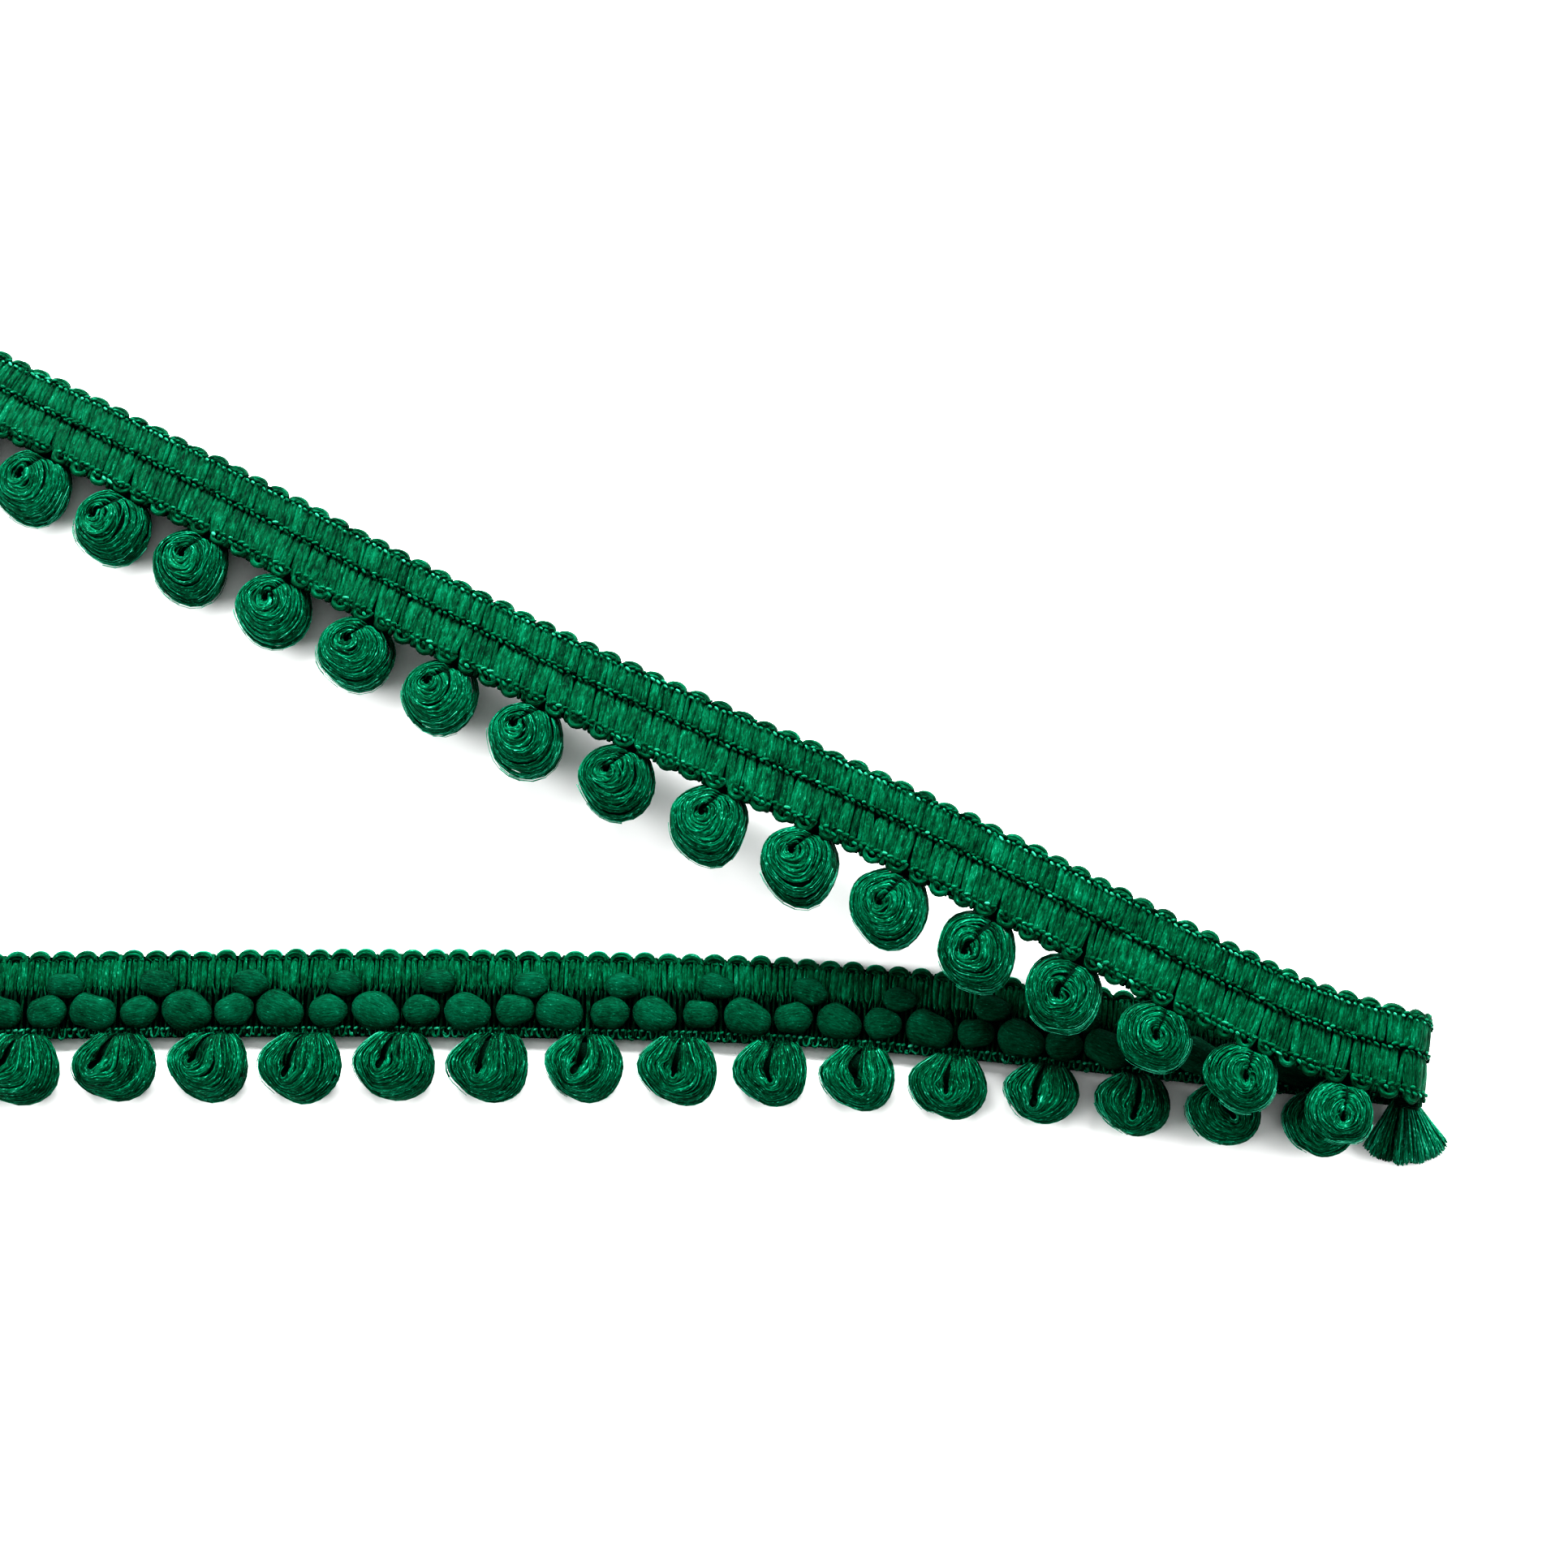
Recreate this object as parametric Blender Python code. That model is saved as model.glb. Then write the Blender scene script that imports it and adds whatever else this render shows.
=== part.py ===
"""Looped tassel fringe trim: one length of a chain stitched heading with a looped tassel every 16 mm,
lying on a table and folded over once at its right end.

The lower arm lies face up with its back flat on the table. The upper arm comes back over it, back up.
The origin is on the table, at the middle of the trim's footprint. Sizes below are in millimetres.
"""

import math

import bmesh
import bpy
import numpy as np
from mathutils import Vector

MM = 0.001

# Trim
TASSEL_COUNT = 34
FOLD_TASSEL = 16
HEADING_WIDTH = 15.6
HEADING_THICKNESS = 1.8
PIECE_GAP = 0.3

# Scalloped upper edge
SCALLOPS_PER_TASSEL = 4
SCALLOP_DEPTH = 1.0
STATIONS_PER_SCALLOP = 2
STATIONS_PER_SCALLOP_AT_FOLD = 4

# Yarn tufts on the face: (middle past the tassel's axis, half length), both counted in tassels
LARGE_TUFT = (-0.25, 0.25)
SMALL_TUFT = (0.24, 0.24)
LENS_TUFT = (0.44, 0.20)
TUFT_HEIGHT = 2.3
SMALL_TUFT_SHARE = 0.85
TUFT_SIDE_SHARE = 0.6
LENS_HEIGHT = 1.1
CHAIN_HEIGHT = 0.5
RIB_HEIGHT = 0.2

# Chains and ribs on the back, where it doesn't lie on the table
BACK_CHAIN_HEIGHT = 0.4

# Looped tassels
LOWER_REACH = 10.8
UPPER_REACH = 12.3
TASSEL_HALF_WIDTH = 6.6
TASSEL_HALF_THICKNESS = 4.2
TASSEL_SIDES = 12
EYE_DEPTH = 1.7
EYE_RADIUS = 2.1
LOWER_EYE = (-3.4, 3.8)
UPPER_EYE = (-1.9, 4.8)
TWIST_RELIEF = 0.35
TWIST_PITCH = 4.4
HANG_BELOW_HEADING = 2.6
FLOOR_FLAT = 0.6
SIZE_SPREAD = 0.05
LEAN_SPREAD = 0.6

# Fanned tassel at the fold
FAN_REACH = 10.1
FAN_COLUMNS = 15
FAN_LOCK_RELIEF = 0.55
FAN_RAGGEDNESS = 0.7
FAN_SWEEP = 44.0
FAN_TURN = 12.0
FAN_NECK = (-1.7, -0.8)
FAN_NECK_HALF = 1.9
FAN_DROOP = 0.8
FAN_EDGE_THINNING = 0.85

# Lie of the trim: where the middle line of the heading starts, and the line that it is folded over
START_X = -128.51
START_Y = -46.32
FOLD_ALONG = 253.2
FOLD_BEARING = 80.0

# Spacing of the tassels: (tassel number, pitch)
PITCHES = (
    (0.0, 15.8),
    (8.0, 15.75),
    (13.0, 15.1),
    (15.0, 15.6),
    (16.0, 18.0),
    (17.0, 18.2),
    (17.5, 17.0),
    (18.0, 14.4),
    (18.5, 14.2),
    (19.0, 14.9),
    (19.5, 15.8),
    (20.0, 16.8),
    (20.5, 15.6),
    (22.0, 16.7),
    (25.0, 17.4),
    (30.0, 16.9),
    (34.0, 16.2),
)

# Bearing of the middle line before folding: (length along, bearing in degrees)
BEARINGS = (
    (0.0, 0.9),
    (60.0, 0.4),
    (110.0, -0.9),
    (125.0, -1.2),
    (145.0, -2.4),
    (160.0, -4.5),
    (185.0, -6.0),
    (215.0, -6.5),
    (253.0, -6.5),
    (260.0, -9.0),
    (272.0, -8.0),
    (281.0, -3.0),
    (291.0, 4.0),
    (305.0, 6.4),
    (328.0, 8.3),
    (355.0, 7.4),
    (385.0, 5.4),
    (410.0, 6.0),
    (440.0, 8.0),
    (478.0, 9.5),
    (500.0, 8.2),
    (560.0, 5.5),
)

# Side view of the fold: (distance past the fold line, slope in degrees)
SLOPES = (
    (-300.0, 0.0),
    (0.0, 0.0),
    (16.0, 174.0),
    (26.0, 174.0),
    (50.0, 176.5),
    (80.0, 181.0),
    (115.0, 183.2),
    (200.0, 183.2),
    (240.0, 181.0),
    (320.0, 180.0),
)

# Roll of the heading about its lower edge, scallops down: (length along, roll in degrees)
ROLLS = (
    (0.0, 0.0),
    (262.0, 0.0),
    (290.0, 3.0),
    (380.0, 9.0),
    (440.0, 11.0),
    (544.0, 13.0),
)

# Share of the full width, drawn in where the heading bends: (length along, share)
WIDTHS = (
    (0.0, 1.0),
    (150.0, 1.0),
    (200.0, 0.97),
    (250.0, 0.95),
    (262.0, 0.97),
    (275.0, 1.0),
    (544.0, 1.0),
)

# Share of the usual size, for tassels that came out smaller: (tassel index, share)
SIZES = (
    (6.0, 1.0),
    (7.0, 0.95),
    (8.0, 0.94),
    (9.0, 0.91),
    (11.0, 0.93),
    (12.0, 0.88),
    (14.0, 0.89),
    (15.0, 0.87),
    (17.0, 0.80),
    (18.0, 0.84),
    (19.0, 0.87),
    (20.0, 0.96),
    (21.0, 1.0),
)

# Outline of a looped tassel: (share of reach, share of half width, share of half thickness)
TASSEL_OUTLINE = (
    (0.00, 0.50, 0.40),
    (0.07, 0.72, 0.62),
    (0.20, 0.92, 0.88),
    (0.40, 1.00, 1.00),
    (0.60, 0.98, 0.99),
    (0.77, 0.83, 0.85),
    (0.89, 0.60, 0.62),
    (0.97, 0.30, 0.33),
)

# Tassels squeezed where the arms lie on each other: (tassel index, half thickness, height of middle)
SQUEEZED = {
    14: (3.5, 3.4),
    15: (3.1, 3.0),
    17: (3.3, 9.7),
    18: (3.6, 10.6),
    19: (3.9, 10.9),
}

# Side view of the fanned tassel: (share of reach, half thickness)
FAN_OUTLINE = (
    (0.0, 1.5),
    (0.18, 1.4),
    (0.45, 1.6),
    (0.75, 1.5),
    (1.0, 0.9),
)

# Cross section of the heading, face side: (distance across, height of chain and tufts at that place)
FACE_ROWS = (
    (0.0, "edge"),
    (1.1, "chain"),
    (2.9, "tuft side"),
    (4.9, "tuft"),
    (7.0, "tuft side"),
    (7.9, "chain"),
    (10.4, "lens"),
    (13.8, "chain"),
    (HEADING_WIDTH, "scallop"),
)

# Cross section of the heading, back: (distance across, what is raised there)
BACK_ROWS = (
    (14.3, "chain"),
    (11.2, "rib"),
    (7.9, "chain"),
    (4.5, "rib"),
    (1.1, "chain"),
)

# Steps of the sums that follow the trim
NUMBER_STEP = 0.02
ROUTE_STEP = 0.25
ROUTE_MARGIN = 20.0
SLOPE_MARGIN = 320.0


def from_table(table, value):
    """Value of a two column table at a place between its rows."""
    places = [row[0] for row in table]
    values = [row[1] for row in table]
    return float(np.interp(value, places, values))


def running_sum(rates, step):
    """Sum of rates over equal steps, starting from nothing."""
    return np.concatenate([[0.0], np.cumsum(rates)[:-1]]) * step


class Lie:
    """Where each point of the flat trim lies once the trim is folded over."""

    def __init__(self):
        half = NUMBER_STEP / 2
        self.numbers = np.arange(0.0, TASSEL_COUNT + half, NUMBER_STEP)
        pitches = [from_table(PITCHES, number + half) for number in self.numbers]
        self.places = running_sum(pitches, NUMBER_STEP)
        self.length = float(self.places[-1])

        self.along = np.arange(-ROUTE_MARGIN, self.length + ROUTE_MARGIN, ROUTE_STEP)
        half = ROUTE_STEP / 2
        turns = np.radians([from_table(BEARINGS, value + half) for value in self.along])
        origin = int(ROUTE_MARGIN / ROUTE_STEP)
        self.line_x = running_sum(np.cos(turns), ROUTE_STEP)
        self.line_y = running_sum(np.sin(turns), ROUTE_STEP)
        self.line_x += START_X - self.line_x[origin]
        self.line_y += START_Y - self.line_y[origin]

        self.past = np.arange(-SLOPE_MARGIN, SLOPE_MARGIN, ROUTE_STEP)
        slopes = np.radians([from_table(SLOPES, value + half) for value in self.past])
        crease = int(SLOPE_MARGIN / ROUTE_STEP)
        self.run = running_sum(np.cos(slopes), ROUTE_STEP)
        self.rise = running_sum(np.sin(slopes), ROUTE_STEP)
        self.run -= self.run[crease]
        self.rise -= self.rise[crease]

        self.fold_x = float(np.interp(FOLD_ALONG, self.along, self.line_x))
        self.fold_y = float(np.interp(FOLD_ALONG, self.along, self.line_y))

    def tassel_place(self, number):
        """Length along the heading at a tassel number."""
        return float(np.interp(number, self.numbers, self.places))

    def point(self, along, across, proud):
        """World point, in millimetres, at a length along, a distance across and a height over the back."""
        bearing = math.radians(from_table(BEARINGS, along))
        share = from_table(WIDTHS, along)
        off = (across - HEADING_WIDTH / 2) * share
        across *= share
        flat_x = float(np.interp(along, self.along, self.line_x)) - math.sin(bearing) * off
        flat_y = float(np.interp(along, self.along, self.line_y)) + math.cos(bearing) * off

        fold = math.radians(FOLD_BEARING)
        crease_x, crease_y = math.cos(fold), math.sin(fold)
        gap_x, gap_y = flat_x - self.fold_x, flat_y - self.fold_y
        past = gap_x * crease_y - gap_y * crease_x
        side = gap_x * crease_x + gap_y * crease_y

        slope = math.radians(from_table(SLOPES, past))
        roll = math.radians(from_table(ROLLS, along))
        lift = proud * math.cos(roll) + across * math.sin(roll)
        side += across * (math.cos(roll) - 1.0) - proud * math.sin(roll)
        run = float(np.interp(past, self.past, self.run)) - math.sin(slope) * lift
        rise = float(np.interp(past, self.past, self.rise)) + math.cos(slope) * lift
        x = self.fold_x + crease_y * run + crease_x * side
        y = self.fold_y - crease_x * run + crease_y * side
        return Vector((x, y, rise))


def add_object(name, points, faces, material):
    """Make one closed solid from points in millimetres, with its faces turned outwards."""
    mesh = bpy.data.meshes.new(name)
    mesh.from_pydata([point * MM for point in points], [], faces)
    solid = bmesh.new()
    solid.from_mesh(mesh)
    bmesh.ops.recalc_face_normals(solid, faces=solid.faces)
    bmesh.ops.triangulate(solid, faces=solid.faces)
    if solid.calc_volume(signed=True) < 0.0:
        bmesh.ops.reverse_faces(solid, faces=solid.faces)
    solid.to_mesh(mesh)
    solid.free()
    mesh.shade_smooth()
    mesh.materials.append(material)
    piece = bpy.data.objects.new(name, mesh)
    bpy.context.scene.collection.objects.link(piece)
    return piece


def add_material(name, colour, roughness):
    """Principled material of one colour for dyed yarn."""
    material = bpy.data.materials.new(name)
    material.use_nodes = True
    shader = material.node_tree.nodes["Principled BSDF"]
    shader.inputs["Base Color"].default_value = (*colour, 1.0)
    shader.inputs["Roughness"].default_value = roughness
    shader.inputs["Metallic"].default_value = 0.0
    return material


def skin_rings(rings, closed_start, closed_end):
    """Points and faces of a tube through rings of equal length, with a cap or a tip at each end."""
    points = [point for ring in rings for point in ring]
    sides = len(rings[0])
    faces = []
    for index in range(len(rings) - 1):
        low = index * sides
        high = low + sides
        for side in range(sides):
            after = (side + 1) % sides
            faces.append((low + side, low + after, high + after, high + side))
    last = (len(rings) - 1) * sides
    for first, tip in ((0, closed_start), (last, closed_end)):
        if tip is None:
            faces.append(tuple(range(first, first + sides)))
            continue
        points.append(tip)
        for side in range(sides):
            faces.append((first + side, first + (side + 1) % sides, len(points) - 1))
    return points, faces


def hump(phase, tuft):
    """Rounded rise that is 1 in a tuft's middle and 0 at its ends."""
    middle, half_length = tuft
    share = (phase - middle) / half_length
    return math.sqrt(max(0.0, 1.0 - share * share))


def face_height(kind, phase):
    """Height of the face over the heading's back. phase is the distance in tassels past a tassel's axis."""
    tuft = max(hump(phase, LARGE_TUFT), SMALL_TUFT_SHARE * hump(phase, SMALL_TUFT))
    if kind in ("edge", "scallop"):
        return HEADING_THICKNESS / 2
    if kind == "chain":
        return HEADING_THICKNESS + CHAIN_HEIGHT
    if kind == "tuft":
        return HEADING_THICKNESS + TUFT_HEIGHT * tuft
    if kind == "tuft side":
        return HEADING_THICKNESS + TUFT_SIDE_SHARE * TUFT_HEIGHT * tuft
    lens = max(hump(phase, LENS_TUFT), hump(phase + 1.0, LENS_TUFT))
    return HEADING_THICKNESS + rib_height(phase) + LENS_HEIGHT * lens


def rib_height(number):
    """Height of the ribs at a place counted in tassels: one rib for each scallop."""
    return RIB_HEIGHT * math.cos(2.0 * math.pi * number * SCALLOPS_PER_TASSEL)


def back_height(kind, number):
    """Height of the back's surface: flat where it lies on the table, with chains and ribs past the fold."""
    if number < FOLD_TASSEL + 0.5:
        return 0.0
    if kind == "chain":
        return -BACK_CHAIN_HEIGHT
    return -rib_height(number)


def scallop_edge(number):
    """Distance across at the scalloped edge, for a place counted in tassels."""
    wave = 0.5 + 0.5 * math.cos(2.0 * math.pi * (number * SCALLOPS_PER_TASSEL + 0.5))
    return HEADING_WIDTH - SCALLOP_DEPTH * wave


def heading_stations():
    """Places of the heading's cross sections, counted in tassels, closer together round the fold."""
    stations = []
    for scallop in range(TASSEL_COUNT * SCALLOPS_PER_TASSEL):
        start = scallop / SCALLOPS_PER_TASSEL
        at_fold = FOLD_TASSEL - 0.5 <= start < FOLD_TASSEL + 1.25
        steps = STATIONS_PER_SCALLOP_AT_FOLD if at_fold else STATIONS_PER_SCALLOP
        for step in range(steps):
            stations.append(start + step / steps / SCALLOPS_PER_TASSEL)
    stations.append(float(TASSEL_COUNT))
    return stations


def make_heading(lie, material):
    """The heading: one folded tape with a scalloped edge, chain ridges and yarn tufts on its face."""
    rings = []
    for number in heading_stations():
        along = lie.tassel_place(number)
        phase = (number % 1.0) - 0.5
        ring = []
        for across, kind in FACE_ROWS:
            place = scallop_edge(number) if kind == "scallop" else across
            ring.append(lie.point(along, place, face_height(kind, phase)))
        for across, kind in BACK_ROWS:
            ring.append(lie.point(along, across, back_height(kind, number)))
        rings.append(ring)
    points, faces = skin_rings(rings, None, None)
    return add_object("heading", points, faces, material)


def tassel_axes(lie, number):
    """Root, sideways direction and outward direction of a tassel, level with the table."""
    along = lie.tassel_place(number)
    root = lie.point(along, 0.0, HEADING_THICKNESS / 2)
    inner = lie.point(along, HEADING_WIDTH, HEADING_THICKNESS / 2)
    out = root - inner
    out.z = 0.0
    out.normalize()
    sideways = Vector((-out.y, out.x, 0.0))
    return root, sideways, out


def surface_relief(reach, wide, eye):
    """Change of a looped tassel's height by its eye and by the coils of yarn round it."""
    eye_side, eye_out = eye
    gap = math.hypot(wide - eye_side, reach - eye_out)
    turn = math.atan2(reach - eye_out, wide - eye_side)
    coil = math.cos(2.0 * math.pi * gap / TWIST_PITCH - turn)
    return TWIST_RELIEF * coil - EYE_DEPTH * math.exp(-((gap / EYE_RADIUS) ** 2))


def make_tassel(lie, index, chance, material):
    """One looped tassel: a flattened onion of yarn coiled round an eye, flat below where it rests."""
    root, sideways, out = tassel_axes(lie, index + 0.5)
    size = (1.0 + SIZE_SPREAD * (chance.random() - 0.5)) * from_table(SIZES, index)
    lean = LEAN_SPREAD * (chance.random() - 0.5)
    upper_arm = index > FOLD_TASSEL
    full_reach = (UPPER_REACH if upper_arm else LOWER_REACH) * size
    eye = UPPER_EYE if upper_arm else LOWER_EYE
    half_thickness = TASSEL_HALF_THICKNESS * size
    centre_height = half_thickness - FLOOR_FLAT
    if upper_arm:
        centre_height = max(centre_height, root.z - HANG_BELOW_HEADING)
    if index in SQUEEZED:
        half_thickness, centre_height = SQUEEZED[index]
    widest = TASSEL_OUTLINE[3][0]
    rings = []
    for reach_share, width_share, thickness_share in TASSEL_OUTLINE:
        settle = min(1.0, reach_share / widest)
        reach = full_reach * reach_share
        middle = root + out * (PIECE_GAP + reach) + sideways * lean * settle
        middle.z = root.z + (centre_height - root.z) * math.sin(settle * math.pi / 2)
        ring = []
        for side in range(TASSEL_SIDES):
            angle = 2.0 * math.pi * side / TASSEL_SIDES
            wide = math.cos(angle) * width_share * TASSEL_HALF_WIDTH * size
            high = math.sin(angle) * thickness_share * half_thickness
            if high > 0.5 * half_thickness:
                high += surface_relief(reach, wide, eye)
            point = middle + sideways * wide
            point.z = max(0.0, middle.z + high)
            ring.append(point)
        rings.append(ring)
    tip = root + out * (PIECE_GAP + full_reach) + sideways * lean
    tip.z = centre_height
    points, faces = skin_rings(rings, None, tip)
    return add_object("tassel_%02d" % (index + 1), points, faces, material)


def fan_place(across, share, longer):
    """Place on the fanned tassel, sideways and out, at shares of its half width and of its reach."""
    turn = math.radians(FAN_TURN + FAN_SWEEP * across)
    length = FAN_REACH * share + longer
    wide = FAN_NECK[0] + FAN_NECK_HALF * across * (1.0 - share) + length * math.sin(turn)
    reach = FAN_NECK[1] + length * math.cos(turn)
    return wide, max(PIECE_GAP * (1.0 + 2.0 * share), reach)


def make_fan_tassel(lie, chance, material):
    """The tassel at the fold: it hangs from the bend and fans out into locks that reach the table."""
    root, sideways, out = tassel_axes(lie, FOLD_TASSEL + 0.5)
    ends = [FAN_RAGGEDNESS * (chance.random() - 0.5) for _ in range(FAN_COLUMNS)]
    rings = []
    for share, half_thickness in FAN_OUTLINE:
        ring = []
        for surface in (1.0, -1.0):
            columns = range(FAN_COLUMNS) if surface > 0.0 else reversed(range(FAN_COLUMNS))
            for column in columns:
                across = 2.0 * column / (FAN_COLUMNS - 1) - 1.0
                ridge = FAN_LOCK_RELIEF * share * (1.0 if column % 2 else 0.0)
                wide, reach = fan_place(across, share, ends[column] * share ** 4)
                point = root + out * reach + sideways * wide
                drop = root.z * share ** FAN_DROOP
                edge = math.sqrt(1.0 - FAN_EDGE_THINNING * across * across)
                thick = surface * (half_thickness * edge + ridge * (surface > 0.0))
                point.z = max(0.0, root.z - drop + thick + half_thickness * share)
                ring.append(point)
        rings.append(ring)
    points, faces = skin_rings(rings, None, None)
    return add_object("fold_tassel", points, faces, material)


def main():
    """Build the heading and every tassel."""
    for old in list(bpy.data.objects):
        bpy.data.objects.remove(old, do_unlink=True)
    chance = np.random.default_rng(7)
    lie = Lie()
    heading_yarn = add_material("heading_yarn", (0.0, 0.135, 0.065), 0.62)
    tassel_yarn = add_material("tassel_yarn", (0.0, 0.155, 0.078), 0.50)
    make_heading(lie, heading_yarn)
    for index in range(TASSEL_COUNT):
        if index == FOLD_TASSEL:
            make_fan_tassel(lie, chance, tassel_yarn)
        else:
            make_tassel(lie, index, chance, tassel_yarn)


main()
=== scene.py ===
"""Looks of the looped tassel fringe trim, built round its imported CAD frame.

The trim is one length folded over once. Its lower arm lies face up on the table, and its upper arm comes
back over it, back up. A place on the flat trim is (along, across, proud): the length along the heading
from its lower left end, the distance from its tassel edge, and the height over its back. A place on a
looped tassel is (sideways, out): to the right of its root, and away from the heading. Values are in
millimetres and degrees, apart from those of the table and the lights, and all that is built is in metres.
A tone runs from -1, the darkest of a yarn's colours, to 1, the palest.
"""

import math

import bpy
import numpy as np
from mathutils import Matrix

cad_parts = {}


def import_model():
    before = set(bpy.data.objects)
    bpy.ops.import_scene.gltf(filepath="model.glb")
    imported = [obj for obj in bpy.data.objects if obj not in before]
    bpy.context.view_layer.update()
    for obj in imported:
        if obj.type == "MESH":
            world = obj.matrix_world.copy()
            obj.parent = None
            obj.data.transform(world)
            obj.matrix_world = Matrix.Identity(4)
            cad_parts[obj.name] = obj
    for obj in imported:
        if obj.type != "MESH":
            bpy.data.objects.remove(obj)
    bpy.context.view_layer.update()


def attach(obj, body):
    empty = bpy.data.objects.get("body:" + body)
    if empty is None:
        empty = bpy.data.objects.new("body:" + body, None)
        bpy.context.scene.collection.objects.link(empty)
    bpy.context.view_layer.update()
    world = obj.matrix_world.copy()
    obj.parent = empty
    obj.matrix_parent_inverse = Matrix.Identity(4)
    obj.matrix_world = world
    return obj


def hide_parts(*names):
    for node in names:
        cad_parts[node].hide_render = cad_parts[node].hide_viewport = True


MM = 0.001

# Trim
TASSEL_COUNT = 34
FOLD_TASSEL = 16
USUAL_PITCH = 16.0
HEADING_WIDTH = 15.6
HEADING_THICKNESS = 1.8
HEADING_MIDDLE = HEADING_THICKNESS / 2

# Start of the middle line, and the line the trim is folded over. The lie's values are those of the part
START = (-128.51, -46.32)
FOLD_ALONG = 253.2
FOLD_BEARING = 80.0

# Spacing of the tassels: (tassel number, pitch)
PITCHES = (
    (0, 15.8), (8, 15.75), (13, 15.1), (15, 15.6), (16, 18.0), (17, 18.2), (17.5, 17.0), (18, 14.4),
    (18.5, 14.2), (19, 14.9), (19.5, 15.8), (20, 16.8), (20.5, 15.6), (22, 16.7), (25, 17.4), (30, 16.9),
    (34, 16.2),
)

# Bearing of the middle line before folding: (length along, bearing in degrees)
BEARINGS = (
    (0, 0.9), (60, 0.4), (110, -0.9), (125, -1.2), (145, -2.4), (160, -4.5), (185, -6.0), (215, -6.5),
    (253, -6.5), (260, -9.0), (272, -8.0), (281, -3.0), (291, 4.0), (305, 6.4), (328, 8.3), (355, 7.4),
    (385, 5.4), (410, 6.0), (440, 8.0), (478, 9.5), (500, 8.2), (560, 5.5),
)

# Side view of the fold: (distance past the fold line, slope in degrees)
SLOPES = (
    (-300, 0.0), (0, 0.0), (16, 174.0), (26, 174.0), (50, 176.5),
    (80, 181.0), (115, 183.2), (200, 183.2), (240, 181.0), (320, 180.0),
)

# Roll of the heading about its lower edge, scallops down: (length along, roll in degrees)
ROLLS = ((0, 0.0), (262, 0.0), (290, 3.0), (380, 9.0), (440, 11.0), (544, 13.0))

# Share of the full width, drawn in where the heading bends: (length along, share)
WIDTHS = ((0, 1.0), (150, 1.0), (200, 0.97), (250, 0.95), (262, 0.97), (275, 1.0), (544, 1.0))

# Share of the usual size, for tassels that came out smaller: (tassel index, share)
SIZES = (
    (6, 1.0), (7, 0.95), (8, 0.94), (9, 0.91), (11, 0.93), (12, 0.88), (14, 0.89),
    (15, 0.87), (17, 0.80), (18, 0.84), (19, 0.87), (20, 0.96), (21, 1.0),
)

# Steps and margins of the sums that follow the trim
NUMBER_STEP = 0.02
ROUTE_STEP = 0.25
ROUTE_MARGIN = 20.0
SLOPE_MARGIN = 320.0

# Colours of the yarns: dark, middle, light and pale, and their places on the ramp. The pale colours serve
# painted glints and painted light, which lift the tone
# The ground cloth's near-black colours are painted shade, for the deep gaps between the yarns over it
GROUND_SHADE_COLOURS = ((0.0, 0.0005, 0.0002), (0.0, 0.001, 0.0005), (0.0, 0.003, 0.0015), (0.0, 0.01, 0.005))
HEADING_COLOURS = ((0.0, 0.003, 0.001), (0.0, 0.040, 0.016), (0.0, 0.100, 0.050), (0.04, 0.30, 0.19))
TUFT_COLOURS = ((0.0, 0.006, 0.002), (0.0, 0.030, 0.014), (0.0, 0.058, 0.031), (0.03, 0.20, 0.13))
TASSEL_COLOURS = ((0.0, 0.003, 0.001), (0.0, 0.050, 0.021), (0.0, 0.150, 0.080), (0.08, 0.44, 0.30))
COLOUR_PLACES = (0.28, 0.5, 0.72, 1.0)

# Looks of the yarns: colours, fineness of their streaks across and along the fibres, contrast of the
# streaks, strength of the grooves, roughness, strength of the painted glints, and gloss
YARN_LOOKS = {
    "ground_yarn": (GROUND_SHADE_COLOURS, 1.2, 1.2, 0.6, 0.4, 0.90, 0.0, 0.0),
    "heading_yarn": (HEADING_COLOURS, 3.0, 0.6, 1.0, 0.8, 0.55, 0.22, 1.0),
    "tuft_yarn": (TUFT_COLOURS, 3.6, 0.7, 0.85, 0.7, 0.60, 0.25, 1.0),
    "tassel_yarn": (TASSEL_COLOURS, 4.6, 0.8, 1.15, 0.9, 0.50, 0.34, 1.0),
}

# Slow changes of colour in the yarns
PATCH_CONTRAST = 0.42

# Painted glints in the yarns, bright flecks that stand for light glancing off the fibres: where the noise
# passes the first level they begin, at the second they are full
GLINT_LEVELS = (0.60, 0.74)
GLINT_SCALE = (4.2, 4.2, 1.8)

# Painted shade on each strand, darkening it towards its underside, below this share of its half height
CREVICE_SHADE = 0.30
CREVICE_SHADE_LEVEL = 0.55

# Spread of the places that the strands' noise is read from, and range of their waves' phases
FIBRE_SPREAD = 90.0
PHASES = (0.0, 6.28)

# Least height of any yarn over the table
TABLE_CLEAR = 0.02

# Sides of the round yarns, and of the fine strands
YARN_SIDES = 6
STRAND_SIDES = 4

# Ground cloth inside the heading, a little narrower and thinner than the yarns over it
CLOTH_LOW = 0.45
CLOTH_HIGH = 14.3
CLOTH_HALF_THICKNESS = 0.4
CLOTH_STEPS_PER_TASSEL = 12
CLOTH_END_CLEAR = 0.01

# The trim shows its face up to this place, counted in tassels, and its back after it
TURNING_NUMBER = 16.55

# Weft yarns across the heading, seen as ribs. Pairs are for its face and its back, and tones have a
# middle and a spread
RIBS_PER_TASSEL = (16, 14)
RIB_OVERLAP = 1.34
# Painted shade towards the ribs' undersides, on the face and on the back
RIB_CREVICE_SHADES = (0.30, 0.40)
RIB_TONES = ((0.0, 0.05), (-0.03, 0.07))
RIB_JITTER = 0.34
RIB_THINNING = 0.22
RIB_SIDES = 8
RIB_SQUARE = 0.85

# Lean of the ribs, where the heading was drawn askew: (length along, mm along for each mm across)
RIB_LEANS = ((0, 0.0), (262, 0.0), (300, 0.10), (380, 0.30), (526, 0.34), (546, 0.0))

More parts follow.
